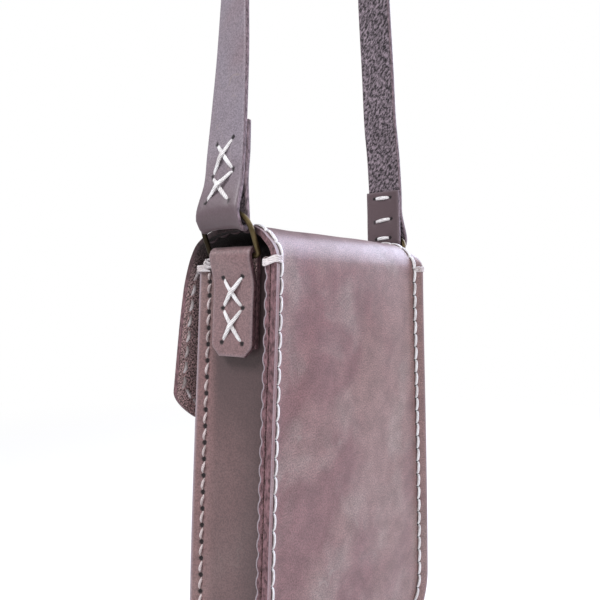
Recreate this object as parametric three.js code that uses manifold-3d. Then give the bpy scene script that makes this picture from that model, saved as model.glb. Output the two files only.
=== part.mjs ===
// A small leather phone bag that hangs by its strap, in millimetres, +Z up.
// The top of the strap, where the bag hangs, is the origin. +Y is the back panel, -Y the flap.
// Sizes below are measured from the level of the top stitches, which is then lowered by the strap.
import * as THREE from "three";
import { mergeVertices } from "three/addons/utils/BufferGeometryUtils.js";
import Module from "manifold-3d";

const wasm = await Module();
wasm.setup();

// Leather and the play between pieces
const leather = 2.1;
const gap = 0.3;

// Body: half widths are at the stitch line, depths are from the middle of the gusset
const seamHalfTop = 50.5;
const seamHalfLow = 56.5;
const widening = 1.3; // how late the sides spread on the way down
const bodyDrop = 168; // from the top stitches down to the bottom seam
const cornerRadius = 18;
const backFace = 19.8;
const frontFace = 15.2;
const frontCrown = 2;
const crownTop = 36; // the front panel's swell runs from here to the bottom corners

// Seam flanges: how far the sewn edges turn out of the panels, and what lies outside the stitches
const backSplay = THREE.MathUtils.degToRad(24);
const frontSplay = THREE.MathUtils.degToRad(66);
const backBend = 8;
const frontBend = 1.2;
const seamAllowance = 5.5;
const frontAllowance = 4.4;
const flapAllowance = 3.3;
const stitchInset = 0.9; // flat flange left between the stitches and the bend

// Gusset: the wall sinks towards the back seam, and its top slopes down to the front
const recess = 3.6;
const gussetTopBack = 0.6;
const gussetTopFront = -2;

// Roll and flap: the crest above the top stitches, and the lower edge of the flap
const rollRise = 13.2;
const flapDrop = 61.5;
const flapReach = 34.2;
const flapCorner = 10;
const splayFade = 8; // height above the top stitches over which the back flange flattens out
const panelTop = -2; // the flat back panel starts here, just under the roll

// Keyhole in the flap and the stud behind it
const studDrop = 46;
const studBaseRadius = 4.5;
const studBaseThickness = 1.2;
const studNeckRadius = 1.7;
const studNeckLength = 3.4;
const studHeadRadius = 3.1;
const keyholePlay = 0.4;
const keyholeSlit = 5;
const keyholeSlitWidth = 1.6;
const keyholeDepth = 12; // long enough to pass through the slanting flap

// Tabs, rings and strap
const strapWidth = 19;
const lugTurn = THREE.MathUtils.degToRad(4); // tab and ring follow the sloping wall
const tabTop = 1.8; // centre of the ring's bar
const tabDrop = 35;
const tabUnderDrop = 32;
const tabCorner = 3.6;
const tabThroat = 9; // the two layers close up this far below the bar
const tabShoulder = 0.55; // how far out the tab is half way from the throat to the loop
const tabBend = [-15, 180]; // degrees round the ring's bar, from the outer layer to the inner
const wireRadius = 1.2;
const ringInside = 20.4;
const ringLeg = 6.4;
const ringArch = 10.8;
const ringSquareness = 3; // exponent of the arch: 2 is a half ellipse
const ringLeanRight = THREE.MathUtils.degToRad(25); // each ring leans out by its own turn
const ringLeanLeft = THREE.MathUtils.degToRad(28);
const ringCorner = 1.6;
const ringCornerParts = [0.3, 0.7]; // points on a corner, as shares of its quarter turn

const strapRise = 500; // from the top stitches to the top of the strap
const legSpread = 59.5; // from the middle of the bag to the strap just above the ring
const foldedTopRight = 50; // top of the strap's ends, which are sewn to its inner side
const foldedTopLeft = 40.5;
const foldedSlope = 0.08; // the folded end lies below square to the leaning strap by this much
const strapBend = [175, 345]; // degrees under the ring's arch, from the folded end to the leg
const strapEdgePlay = 0.8; // the strap's loop is as low as the arch is this far past its edges
const strapEase = 0.3; // the strap's loop is this much wider than the tab's
const pegRadius = 12; // bend of the strap over whatever carries it
const pegTurn = THREE.MathUtils.degToRad(20);

// How finely the faces are divided
const sideSteps = 12;
const cornerSteps = 5;
const rollSteps = 25;
const middleSteps = 8;
const bendSteps = 2;
const gussetSteps = 13;
const archSteps = 14;
const loopSteps = 5;
const wireSides = 8;
const turnedSides = 20;
const headSteps = 6;
const longestStrapStep = 30;
const bottomShares = [0.67, 0.33, 0, -0.33, -0.67]; // gusset lines between the two corners
const pegAngles = [0, 45, 90, 135, 180];

const brown = 0x84716f;
const darkBrown = 0x6f605e;
const brass = 0x8b8055;

// Strap legs: height as a share of strapRise, spread of each leg as a share of legSpread,
// and the turn of each leg's width in degrees
const legRows = [
  { height: 0.058, right: 0.973, left: 1.0, rightTurn: 1.5, leftTurn: 4 },
  { height: 0.078, right: 0.954, left: 0.99, rightTurn: 2.8, leftTurn: 4.4 },
  { height: 0.116, right: 0.922, left: 0.952, rightTurn: 7.5, leftTurn: 5.6 },
  { height: 0.15, right: 0.898, left: 0.898, rightTurn: 12, leftTurn: 7.2 },
  { height: 0.2, right: 0.857, left: 0.823, rightTurn: 18, leftTurn: 9.2 },
  { height: 0.28, right: 0.782, left: 0.71, rightTurn: 20, leftTurn: 12 },
  { height: 0.45, right: 0.625, left: 0.585, rightTurn: 20, leftTurn: 16 },
  { height: 0.7, right: 0.41, left: 0.4, rightTurn: 20, leftTurn: 19 },
  { height: 0.9, right: 0.243, left: 0.243, rightTurn: 20, leftTurn: 20 },
];

// Middle of the roll and flap, seen from the side: depth is a share of backFace behind the
// middle and of flapReach in front of it; height is a share of rollRise up and of flapDrop down
const rollRows = [
  { depth: 1.0, height: 0.04 },
  { depth: 0.99, height: 0.17 },
  { depth: 0.94, height: 0.41 },
  { depth: 0.815, height: 0.69 },
  { depth: 0.6, height: 0.895 },
  { depth: 0.28, height: 0.99 },
  { depth: -0.07, height: 0.965 },
  { depth: -0.27, height: 0.85 },
  { depth: -0.43, height: 0.7 },
  { depth: -0.56, height: 0.49 },
  { depth: -0.65, height: 0.17 },
  { depth: -0.715, height: -0.05 },
  { depth: -0.765, height: -0.14 },
  { depth: -0.8, height: -0.235 },
  { depth: -0.84, height: -0.36 },
  { depth: -0.875, height: -0.49 },
  { depth: -0.94, height: -0.75 },
  { depth: -1.0, height: -1.0 },
];

// Gusset wall between its two flanges: depth as a share from the front seam (0) to the
// back seam (1), sink as a share of recess
const wallRows = [
  { depth: 0.1, sink: 0.22 },
  { depth: 0.3, sink: 0.38 },
  { depth: 0.55, sink: 0.58 },
  { depth: 0.76, sink: 0.77 },
  { depth: 0.87, sink: 0.97 },
];

const vec = (x, y, z) => new THREE.Vector3(x, y, z);
const lerp = THREE.MathUtils.lerp;
const share = (value, from, to) => THREE.MathUtils.clamp((value - from) / (to - from), 0, 1);
const layer = leather + gap;
const mirrored = (p) => vec(-p.x, p.y, p.z);

// A closed solid from points and faces; faces turned inwards are turned round as a whole
function solid(points, faces) {
  const triangles = [];
  for (const [a, b, c, d] of faces) {
    triangles.push(a, b, c);
    if (d !== undefined) triangles.push(a, c, d);
  }
  let volume = 0;
  for (let i = 0; i < triangles.length; i += 3) {
    const [p, q, r] = [0, 1, 2].map((k) => points[triangles[i + k]]);
    volume += p.dot(q.clone().cross(r));
  }
  if (volume < 0) triangles.reverse();
  const geometry = new THREE.BufferGeometry();
  geometry.setAttribute(
    "position",
    new THREE.Float32BufferAttribute(points.flatMap((p) => [p.x, p.y, p.z]), 3),
  );
  geometry.setIndex(triangles);
  return geometry;
}

// A sheet of leather: every knot has a point on the grain side and one on the flesh side
class Sheet {
  constructor() {
    this.grain = [];
    this.flesh = [];
    this.quads = [];
  }
  knot(point, normal) {
    this.grain.push(point);
    this.flesh.push(point.clone().addScaledVector(normal, -leather));
    return this.grain.length - 1;
  }
  weave(lineA, lineB) {
    for (let i = 0; i + 1 < lineA.length; i += 1) {
      this.quads.push([lineA[i], lineA[i + 1], lineB[i + 1], lineB[i]]);
    }
  }
  solid() {
    const count = this.grain.length;
    const faces = [...this.quads];
    const edges = new Map();
    for (const quad of this.quads) {
      faces.push(quad.map((k) => k + count).reverse());
      quad.forEach((a, i) => {
        const b = quad[(i + 1) % quad.length];
        if (!edges.delete(`${b} ${a}`)) edges.set(`${a} ${b}`, [a, b]);
      });
    }
    for (const [a, b] of edges.values()) faces.push([b, a, a + count, b + count]);
    return solid([...this.grain, ...this.flesh], faces);
  }
}

// A solid along a row of equal rings of points, closed on itself or capped at both ends
function sweep(rings, closed) {
  const size = rings[0].length;
  const faces = [];
  const last = closed ? rings.length : rings.length - 1;
  for (let i = 0; i < last; i += 1) {
    const next = ((i + 1) % rings.length) * size;
    for (let k = 0; k < size; k += 1) {
      const l = (k + 1) % size;
      faces.push([i * size + k, i * size + l, next + l, next + k]);
    }
  }
  if (!closed) {
    const end = (rings.length - 1) * size;
    for (let k = 1; k + 1 < size; k += 1) {
      faces.push([0, k + 1, k], [end, end + k, end + k + 1]);
    }
  }
  return solid(rings.flat(), faces);
}

// The seam line in the plane of the panels

function seamHalf(height) {
  const down = share(-height, 0, bodyDrop);
  const spread = Math.sin((down * Math.PI) / 2) ** widening;
  return lerp(seamHalfTop, seamHalfLow, spread);
}

const cornerTop = -(bodyDrop - cornerRadius);
const cornerMiddle = seamHalf(cornerTop) - cornerRadius;

// Stations down one side and round its corner: a point of the seam and its outward direction
function sideStations(top) {
  const stations = [];
  for (let i = 0; i < sideSteps; i += 1) {
    const height = lerp(top, cornerTop, i / sideSteps);
    const lean = seamHalf(height - 1) - seamHalf(height);
    const across = vec(1, 0, lean).normalize();
    stations.push({ at: vec(seamHalf(height), 0, height), across });
  }
  for (let i = 0; i <= cornerSteps; i += 1) {
    const angle = ((Math.PI / 2) * i) / cornerSteps;
    const across = vec(Math.cos(angle), 0, -Math.sin(angle));
    const at = vec(cornerMiddle, 0, cornerTop).addScaledVector(across, cornerRadius);
    stations.push({ at, across });
  }
  return stations;
}

// Section of a panel's sewn edge, from the cut edge inwards to the flat of the panel.
// out runs outwards from the stitches, lift runs out of the panel, both on the grain side
function flangeSection(splay, bend, allowance) {
  const cos = Math.cos(splay);
  const sin = Math.sin(splay);
  const lift = stitchInset * sin + bend * (1 - cos);
  const section = [allowance, allowance / 2, 0, -stitchInset].map((along) => ({
    out: along * cos,
    lift: lift + along * sin,
    tilt: splay,
  }));
  for (let i = 1; i <= bendSteps; i += 1) {
    const tilt = splay * (1 - i / bendSteps);
    section.push({
      out: -stitchInset * cos - bend * (sin - Math.sin(tilt)),
      lift: bend * (1 - Math.cos(tilt)),
      tilt,
    });
  }
  return section;
}

// Adds one line of knots across a panel: left flange, middle, right flange.
// The crown is the rise of the middle, in millimetres
function lineAcross(sheet, station, section, crown) {
  const { at, across, face } = station;
  const flange = (side) =>
    section.map(({ out, lift, tilt }) => {
      const flat = vec(side * across.x, across.y, across.z);
      const point = vec(side * at.x, at.y, at.z);
      point.addScaledVector(flat, out).addScaledVector(face, lift);
      const normal = face.clone().multiplyScalar(Math.cos(tilt));
      return sheet.knot(point, normal.addScaledVector(flat, -Math.sin(tilt)));
    });
  const left = flange(-1);
  const right = flange(1).reverse();
  const from = sheet.grain[left.at(-1)];
  const to = sheet.grain[right[0]];
  const middle = [];
  for (let i = 1; i < middleSteps; i += 1) {
    const point = from.clone().lerp(to, i / middleSteps);
    const swell = Math.sin((Math.PI * i) / middleSteps) ** 2;
    middle.push(sheet.knot(point.addScaledVector(face, crown * swell), face));
  }
  return [...left, ...middle, ...right];
}

// Closes the bottom of a panel below its last line with rows that run straight across
function bottomRows(sheet, lastLine, section, station) {
  const { face, at } = station;
  const down = vec(0, 0, -1);
  const rings = section.length;
  let upper = lastLine.slice(rings - 1, lastLine.length - rings + 1);
  for (let ring = rings - 2; ring >= 0; ring -= 1) {
    const { out, lift, tilt } = section[ring];
    const normal = face.clone().multiplyScalar(Math.cos(tilt));
    normal.addScaledVector(down, -Math.sin(tilt));
    const row = [lastLine[ring]];
    for (let i = 1; i < middleSteps; i += 1) {
      const point = vec(lerp(-at.x, at.x, i / middleSteps), at.y, at.z);
      point.addScaledVector(down, out).addScaledVector(face, lift);
      row.push(sheet.knot(point, normal));
    }
    row.push(lastLine[lastLine.length - 1 - ring]);
    sheet.weave(row, upper);
    upper = row;
  }
}

// Back panel, roll and flap in one piece

function rollCurve() {
  const points = rollRows.map(({ depth, height }) =>
    vec(
      0,
      depth * (depth > 0 ? backFace : flapReach),
      height * (height > 0 ? rollRise : flapDrop),
    ),
  );
  return new THREE.CatmullRomCurve3(points, false, "centripetal");
}

function backAndFlap() {
  const sheet = new Sheet();
  const curve = rollCurve();
  const lines = [];
  const length = curve.getLength();
  const cornerShare = 1 - flapCorner / length;
  const shares = [...Array(rollSteps + 1).keys()].map((i) => (cornerShare * i) / rollSteps);
  for (const along of [1, ...shares.reverse()]) {
    const at = curve.getPointAt(along);
    const tangent = curve.getTangentAt(along);
    const face = vec(0, tangent.z, -tangent.y);
    const fade = 1 - share(at.z, 0, splayFade) ** 2;
    const splay = at.y > 0 && along < 0.5 ? backSplay * fade : 0;
    const allowance = lerp(flapAllowance, seamAllowance, splay / backSplay);
    const section = flangeSection(splay, backBend, allowance);
    at.x = seamHalfTop - (along === 1 ? flapCorner : 0);
    lines.push(lineAcross(sheet, { at, across: vec(1, 0, 0), face }, section, 0));
  }
  const section = flangeSection(backSplay, backBend, seamAllowance);
  const face = vec(0, 1, 0);
  const stations = sideStations(panelTop).map(({ at, across }) => ({
    at: at.clone().setY(backFace),
    across,
    face,
  }));
  for (const station of stations) lines.push(lineAcross(sheet, station, section, 0));
  for (let i = 0; i + 1 < lines.length; i += 1) sheet.weave(lines[i + 1], lines[i]);
  bottomRows(sheet, lines.at(-1), section, stations.at(-1));
  return cut(sheet.solid(), keyhole(curve));
}

// Boolean cut of one closed shape by others
function manifoldOf(geometry) {
  const bare = geometry.clone();
  bare.deleteAttribute("normal");
  bare.deleteAttribute("uv");
  const merged = mergeVertices(bare, 1e-4);
  return new wasm.Manifold(
    new wasm.Mesh({
      numProp: 3,
      vertProperties: merged.attributes.position.array,
      triVerts: new Uint32Array(merged.index.array),
    }),
  );
}

function cut(geometry, tools) {
  let body = manifoldOf(geometry);
  for (const tool of tools) body = body.subtract(manifoldOf(tool));
  const mesh = body.getMesh();
  const made = new THREE.BufferGeometry();
  made.setAttribute("position", new THREE.BufferAttribute(mesh.vertProperties, 3));
  made.setIndex(new THREE.BufferAttribute(mesh.triVerts, 1));
  return made;
}

// A round hole that passes the stud's head, with a slit above it for the neck
function keyhole(curve) {
  const length = curve.getLength();
  let along = 1;
  while (curve.getPointAt(along).z < -studDrop) along -= 1 / length;
  const at = curve.getPointAt(along);
  const tangent = curve.getTangentAt(along);
  const tilt = Math.atan2(tangent.y, -tangent.z);
  const hole = studHeadRadius + keyholePlay;
  const round = new THREE.CylinderGeometry(hole, hole, keyholeDepth, turnedSides);
  const reach = hole + keyholeSlit;
  const slit = new THREE.BoxGeometry(keyholeSlitWidth, keyholeDepth, reach);
  slit.translate(0, 0, reach / 2);
  return [round, slit].map((tool) => {
    tool.rotateX(-tilt);
    return tool.translate(at.x, at.y, at.z);
  });
}

// Front panel

// The flange of the front panel lies inside the gusset's flange, one layer further in
const frontNormal = vec(-Math.sin(frontSplay), -Math.cos(frontSplay), 0);
const frontLift = stitchInset * Math.sin(frontSplay) + frontBend * (1 - Math.cos(frontSplay));
const frontSeamDepth = -(frontFace + frontLift); // grain of the front panel at the stitches
const frontShift = -(layer + leather) * Math.sin(frontSplay); // the panel's stitches inwards

function crownAt(height) {
  const along = share(height, cornerTop - cornerRadius / 2, crownTop);
  return frontCrown * Math.sin(Math.PI * along) ** 2;
}

function frontPanel() {
  const sheet = new Sheet();
  const face = vec(0, -1, 0);
  const stations = sideStations(gussetTopFront).map(({ at, across }) => ({
    at: at.clone().addScaledVector(across, frontShift).setY(-frontFace),
    across,
    face,
  }));
  const section = flangeSection(frontSplay, frontBend, frontAllowance);
  const lines = stations.map((station) =>
    lineAcross(sheet, station, section, crownAt(station.at.z)),
  );
  for (let i = 0; i + 1 < lines.length; i += 1) sheet.weave(lines[i + 1], lines[i]);
  bottomRows(sheet, lines.at(-1), section, stations.at(-1));
  return sheet.solid();
}

// Gusset: one strip down one side, along the bottom and up the other side

// Middle of the strip's thickness in section: out from the seam line, and depth
function gussetSection() {
  const back = vec(Math.cos(backSplay), Math.sin(backSplay), 0);
  const backNormal = vec(-back.y, back.x, 0);
  const backLift = stitchInset * back.y + backBend * (1 - back.x);
  const backStitch = vec(0, backFace + backLift, 0);
  backStitch.addScaledVector(backNormal, -(layer + leather / 2));
  const front = vec(Math.cos(frontSplay), -Math.sin(frontSplay), 0);
  const frontStitch = vec(frontShift, frontSeamDepth, 0);
  frontStitch.addScaledVector(frontNormal, -(layer + leather / 2));
  const along = (stitch, flange, run) => stitch.clone().addScaledVector(flange, run);
  const wall = wallRows.map(({ depth, sink }) =>
    vec(-leather / 2 - recess * sink, lerp(frontStitch.y, backStitch.y, depth), 0),
  );
  const points = [
    along(frontStitch, front, frontAllowance),
    along(frontStitch, front, frontAllowance / 2),
    frontStitch,
    ...wall,
    along(backStitch, back, -stitchInset),
    along(backStitch, back, seamAllowance / 2),
    along(backStitch, back, seamAllowance),
  ];
  const curve = new THREE.CatmullRomCurve3(points, false, "centripetal");
  return [...Array(gussetSteps + 1).keys()].map((i) => {
    const point = curve.getPoint(i / gussetSteps);
    const tangent = curve.getTangent(i / gussetSteps);
    return { out: point.x, depth: point.y, normal: vec(tangent.y, -tangent.x, 0) };
  });
}

function gusset() {
  const sheet = new Sheet();
  const section = gussetSection();
  const half = sideStations(gussetTopBack);
  const left = half.map(({ at, across }) => ({ at: mirrored(at), across: mirrored(across) }));
  const bottom = bottomShares.map((across) => ({
    at: vec(-across * cornerMiddle, 0, -bodyDrop),
    across: vec(0, 0, -1),
  }));
  const slopeEnd = -2 * seamAllowance;
  const depths = section.map(({ depth }) => depth);
  const frontDepth = Math.min(...depths);
  const backDepth = Math.max(...depths);
  const lines = [...left, ...bottom, ...half.reverse()].map(({ at, across }) =>
    section.map(({ out, depth, normal }) => {
      const point = at.clone().addScaledVector(across, out).setY(depth);
      const lower = lerp(gussetTopFront - gussetTopBack, 0, share(depth, frontDepth, backDepth));
      point.z += lower * share(at.z, slopeEnd, gussetTopBack);
      const grainSide = across.clone().multiplyScalar(normal.x);
      grainSide.y = normal.y;
      return sheet.knot(point.addScaledVector(grainSide, leather / 2), grainSide);
    }),
  );
  for (let i = 0; i + 1 < lines.length; i += 1) sheet.weave(lines[i], lines[i + 1]);
  return sheet.solid();
}

// Tab, ring and strap loop share one frame at each side: out from the wall and up

const wallOut = -recess / 2; // the wall's outer face in the middle of the tab
const tabInner = gap + leather / 2; // middle of the tab's inner layer, out from the wall
const tabLoop = wireRadius + gap + leather / 2; // bend of the tab round the ring's bar
const strapBow = tabLoop + strapEase;
const barOut = tabInner + tabLoop;
const lugAt = vec(seamHalfTop + wallOut, 0, 0);
const lugWide = vec(-Math.sin(lugTurn), Math.cos(lugTurn), 0);
const lugOut = vec(Math.cos(lugTurn), Math.sin(lugTurn), 0);
const lug = (wide, out, up) => {
  const follow = seamHalf(Math.min(up, 0)) - seamHalfTop; // the side spreads on the way down
  const point = lugAt.clone().addScaledVector(lugWide, wide);
  return point.addScaledVector(lugOut, out + follow).setZ(up);
};

// A strip of leather along a curve; each station has a point, the width's direction and half width
function strip(stations) {
  const rings = stations.map(({ point, along, wide, half }) => {
    const width = wide.clone().addScaledVector(along, -wide.dot(along)).normalize();
    const normal = width.clone().cross(along).normalize();
    return [
      [-1, -1],
      [1, -1],
      [1, 1],
      [-1, 1],
    ].map(([side, skin]) =>
      point
        .clone()
        .addScaledVector(width, side * half)
        .addScaledVector(normal, (skin * leather) / 2),
    );
  });
  return sweep(rings, false);
}

// Arc of a loop from one angle to another, as out and up from its centre
function loopArc(centreOut, centreUp, radius, [from, to]) {
  return [...Array(loopSteps + 1).keys()].map((i) => {
    const angle = THREE.MathUtils.degToRad(lerp(from, to, i / loopSteps));
    return [centreOut + radius * Math.cos(angle), centreUp + radius * Math.sin(angle)];
  });
}

function tab() {
  const outer = tabInner + layer;
  const profile = [
    [outer, -tabDrop],
    [outer, -tabDrop + tabCorner],
    [outer, -tabDrop / 2],
    [outer, tabTop - tabThroat],
    [lerp(outer, barOut + tabLoop, tabShoulder), tabTop - tabThroat / 2],
    ...loopArc(barOut, tabTop, tabLoop, tabBend),
    [tabInner, tabTop - tabThroat],
    [tabInner, -tabUnderDrop],
  ];
  const points = profile.map(([out, up]) => lug(0, out, up));
  const curve = new THREE.CatmullRomCurve3(points, false, "centripetal");
  const stations = [];
  const count = points.length - 1;
  for (let i = 0; i <= count; i += 1) {
    const half = i === 0 ? strapWidth / 2 - tabCorner : strapWidth / 2;
    stations.push({
      point: curve.getPoint(i / count),
      along: curve.getTangent(i / count),
      wide: lugWide,
      half,
    });
  }
  return strip(stations);
}

const ringHalf = ringInside / 2 + wireRadius;

// Middle line of the ring's wire, as width and height in the ring's own leaning plane
function ringOutline() {
  const corner = (side) =>
    ringCornerParts.map((part) => {
      const angle = (Math.PI / 2) * part;
      const centre = ringHalf - ringCorner;
      const wide = centre + ringCorner * (side > 0 ? Math.sin(angle) : Math.cos(angle));
      const up = ringCorner - ringCorner * (side > 0 ? Math.cos(angle) : Math.sin(angle));
      return [side * wide, up];
    });
  const arch = [];
  for (let i = 0; i <= archSteps; i += 1) {
    const angle = (Math.PI * i) / archSteps;
    const power = 2 / ringSquareness;
    const wide = Math.sign(Math.cos(angle)) * Math.abs(Math.cos(angle)) ** power;
    arch.push([ringHalf * wide, ringLeg + ringArch * Math.abs(Math.sin(angle)) ** power]);
  }
  const bar = ringHalf - ringCorner;
  return [[-bar, 0], [0, 0], [bar, 0], ...corner(1), ...arch, ...corner(-1)];
}

function ringPoint(wide, up, lean) {
  return lug(wide, barOut + up * Math.sin(lean), tabTop + up * Math.cos(lean));
}

function dRing(lean) {
  const middle = ringOutline().map(([wide, up]) => ringPoint(wide, up, lean));
  const flatNormal = ringPoint(0, 0, lean).sub(ringPoint(0, 1, lean)).cross(lugWide).normalize();
  const rings = middle.map((point, i) => {
    const before = middle[(i + middle.length - 1) % middle.length];
    const after = middle[(i + 1) % middle.length];
    const along = after.clone().sub(before).normalize();
    const inward = flatNormal.clone().cross(along);
    return [...Array(wireSides).keys()].map((k) => {
      const angle = (2 * Math.PI * k) / wireSides;
      return point
        .clone()
        .addScaledVector(flatNormal, wireRadius * Math.cos(angle))
        .addScaledVector(inward, wireRadius * Math.sin(angle));
    });
  });
  return sweep(rings, true);
}

// Strap: folded end, loop round the ring, right leg, top, left leg, loop and folded end

// Height up the ring's plane of the wire at the edge of the strap
const loopEdge = strapWidth / 2 + strapEdgePlay;
const archAtEdge =
  ringLeg + ringArch * (1 - (loopEdge / ringHalf) ** ringSquareness) ** (1 / ringSquareness);

// The strap's side loop as out and up in the lug frame, from its inner to its outer top
function strapLoop(lean) {
  const lowOut = barOut + archAtEdge * Math.sin(lean);
  const lowUp = tabTop + archAtEdge * Math.cos(lean);
  const highOut = barOut + (ringLeg + ringArch) * Math.sin(lean);
  const highUp = tabTop + (ringLeg + ringArch) * Math.cos(lean);
  return [...loopArc(lowOut, lowUp, strapBow, strapBend), [highOut + strapBow, highUp]];
}

function legPoint(row, side) {
  const top = strapRise - pegRadius;
  const height = row.height * strapRise;
  const spread = (side > 0 ? row.right : row.left) * legSpread;
  const turned = share(height, legRows[3].height * strapRise, top);
  const turn = THREE.MathUtils.degToRad(side > 0 ? row.rightTurn : row.leftTurn);
  return {
    point: vec(side * spread, -side * spread * Math.tan(pegTurn) * turned, height),
    wide: vec(Math.sin(turn), Math.cos(turn), 0),
  };
}

// The two layers above a loop: the inner one lies one layer further in
function foldedRows(side) {
  const rows = legRows.slice(0, 3).map((row) => legPoint(row, side));
  const inner = rows.map(({ point, wide }) => {
    const inward = vec(-side * Math.cos(lugTurn), 0, -foldedSlope).normalize();
    return { point: point.clone().addScaledVector(inward, layer), wide };
  });
  const last = inner.at(-1);
  const before = inner.at(-2);
  const top = side > 0 ? foldedTopRight : foldedTopLeft;
  const part = (top - before.point.z) / (last.point.z - before.point.z);
  last.point.lerpVectors(before.point, last.point, part);
  return inner.reverse();
}

function strapSide(side) {
  const wide = side > 0 ? lugWide : mirrored(lugWide);
  const lean = side > 0 ? ringLeanRight : ringLeanLeft;
  const loop = strapLoop(lean).map(([out, up]) => {
    const point = lug(0, out, up);
    return { point: side > 0 ? point : mirrored(point), wide };
  });
  return [...foldedRows(side), ...loop, ...legRows.map((row) => legPoint(row, side))];
}

function strapTop() {
  const wide = vec(Math.sin(pegTurn), Math.cos(pegTurn), 0);
  const over = vec(Math.cos(pegTurn), -Math.sin(pegTurn), 0);
  return pegAngles.map((degrees) => {
    const angle = THREE.MathUtils.degToRad(degrees);
    const point = over.clone().multiplyScalar(pegRadius * Math.cos(angle));
    point.z = strapRise - leather / 2 - pegRadius + pegRadius * Math.sin(angle);
    return { point, wide };
  });
}

function strap() {
  const rows = [...strapSide(1), ...strapTop(), ...strapSide(-1).reverse()];
  const path = new THREE.CatmullRomCurve3(
    rows.map(({ point }) => point),
    false,
    "centripetal",
  );
  const widths = new THREE.CatmullRomCurve3(
    rows.map(({ wide }) => wide),
    false,
    "centripetal",
  );
  const stations = [];
  const count = rows.length - 1;
  for (let i = 0; i <= count; i += 1) {
    const length = i < count ? rows[i].point.distanceTo(rows[i + 1].point) : 0;
    const parts = Math.max(1, Math.round(length / longestStrapStep));
    for (let k = 0; k < parts; k += 1) {
      const t = Math.min(1, (i + k / parts) / count);
      stations.push({
        point: path.getPoint(t),
        along: path.getTangent(t),
        wide: widths.getPoint(t).normalize(),
        half: strapWidth / 2,
      });
    }
  }
  return strip(stations);
}

// Stud on the front panel, turned on a lathe: base, neck and round head
function stud() {
  const neckEnd = studBaseThickness + studNeckLength;
  const headCentre = neckEnd + Math.sqrt(studHeadRadius ** 2 - studNeckRadius ** 2);
  const profile = [
    new THREE.Vector2(0, 0),
    new THREE.Vector2(studBaseRadius, 0),
    new THREE.Vector2(studBaseRadius, studBaseThickness),
    new THREE.Vector2(studNeckRadius, studBaseThickness),
  ];
  const start = Math.asin(studNeckRadius / studHeadRadius);
  for (let i = 0; i <= headSteps; i += 1) {
    const angle = lerp(start, Math.PI, i / headSteps);
    const radius = i === headSteps ? 0 : studHeadRadius * Math.sin(angle);
    profile.push(new THREE.Vector2(radius, headCentre - studHeadRadius * Math.cos(angle)));
  }
  return new THREE.LatheGeometry(profile, turnedSides).rotateX(Math.PI);
}

function mirroredGeometry(geometry) {
  const made = geometry.clone();
  made.scale(-1, 1, 1);
  made.index.array.reverse();
  return made;
}

function piece(name, geometry, colour, roughness, metalness) {
  const material = new THREE.MeshStandardMaterial({ color: colour, roughness, metalness });
  const mesh = new THREE.Mesh(geometry, material);
  mesh.name = name;
  return mesh;
}

const bag = new THREE.Group();
bag.add(piece("back_and_flap", backAndFlap(), brown, 0.55, 0));
bag.add(piece("front_panel", frontPanel(), brown, 0.55, 0));
bag.add(piece("gusset", gusset(), darkBrown, 0.6, 0));
bag.add(piece("tab_right", tab(), brown, 0.55, 0));
bag.add(piece("tab_left", mirroredGeometry(tab()), brown, 0.55, 0));
bag.add(piece("d_ring_right", dRing(ringLeanRight), brass, 0.4, 1));
bag.add(piece("d_ring_left", mirroredGeometry(dRing(ringLeanLeft)), brass, 0.4, 1));
bag.add(piece("strap", strap(), brown, 0.55, 0));
const flapStud = piece("flap_stud", stud(), brass, 0.4, 1);
flapStud.position.set(0, -(frontFace + crownAt(-studDrop) + gap), -studDrop);
bag.add(flapStud);

// The bag hangs below the top of its strap
bag.position.z = -strapRise;
const part = new THREE.Group();
part.add(bag);

export default part;
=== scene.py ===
"""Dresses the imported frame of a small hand-stitched leather phone bag that hangs by its strap.

Lengths are metres. The making functions count heights from the level of the top stitches, as
the bag's pattern does, and hang() lowers each finished mesh to the frame's own level.
+X is the bag's right side, +Y its back panel and -Y its flap.
"""

import math
from collections import namedtuple

import bmesh
import bpy
import numpy as np
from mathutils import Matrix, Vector, noise
from mathutils.kdtree import KDTree


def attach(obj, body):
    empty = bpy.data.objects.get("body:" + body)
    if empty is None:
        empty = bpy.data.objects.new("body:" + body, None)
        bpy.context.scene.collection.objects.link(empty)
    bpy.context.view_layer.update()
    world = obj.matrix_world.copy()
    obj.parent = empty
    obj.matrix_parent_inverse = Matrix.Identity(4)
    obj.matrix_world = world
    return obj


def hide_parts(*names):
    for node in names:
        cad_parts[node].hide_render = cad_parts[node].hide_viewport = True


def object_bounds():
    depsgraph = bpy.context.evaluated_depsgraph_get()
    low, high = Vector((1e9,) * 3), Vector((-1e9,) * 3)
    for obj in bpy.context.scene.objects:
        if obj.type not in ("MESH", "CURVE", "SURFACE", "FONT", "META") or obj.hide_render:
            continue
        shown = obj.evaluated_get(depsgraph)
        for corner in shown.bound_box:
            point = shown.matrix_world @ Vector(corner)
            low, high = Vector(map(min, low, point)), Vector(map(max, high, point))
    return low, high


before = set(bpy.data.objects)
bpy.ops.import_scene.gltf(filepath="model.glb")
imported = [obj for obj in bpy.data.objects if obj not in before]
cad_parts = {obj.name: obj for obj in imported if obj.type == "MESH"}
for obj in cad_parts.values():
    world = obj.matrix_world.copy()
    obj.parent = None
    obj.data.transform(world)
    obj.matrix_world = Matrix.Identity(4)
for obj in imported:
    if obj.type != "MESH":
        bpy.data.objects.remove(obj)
cad_low, cad_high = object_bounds()

bl_info = {
    "name": "Leather phone bag",
    "version": (1, 0, 0),
    "blender": (4, 5, 0),
    "location": "View3D > Sidebar > Phone bag",
    "description": "Builds a hand-stitched leather phone bag around its packed frame",
    "category": "Add Mesh",
}

MM = 0.001

# Leather and the play between pieces
LEATHER = 2.1 * MM
GAP = 0.3 * MM
LAYER = LEATHER + GAP

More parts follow.
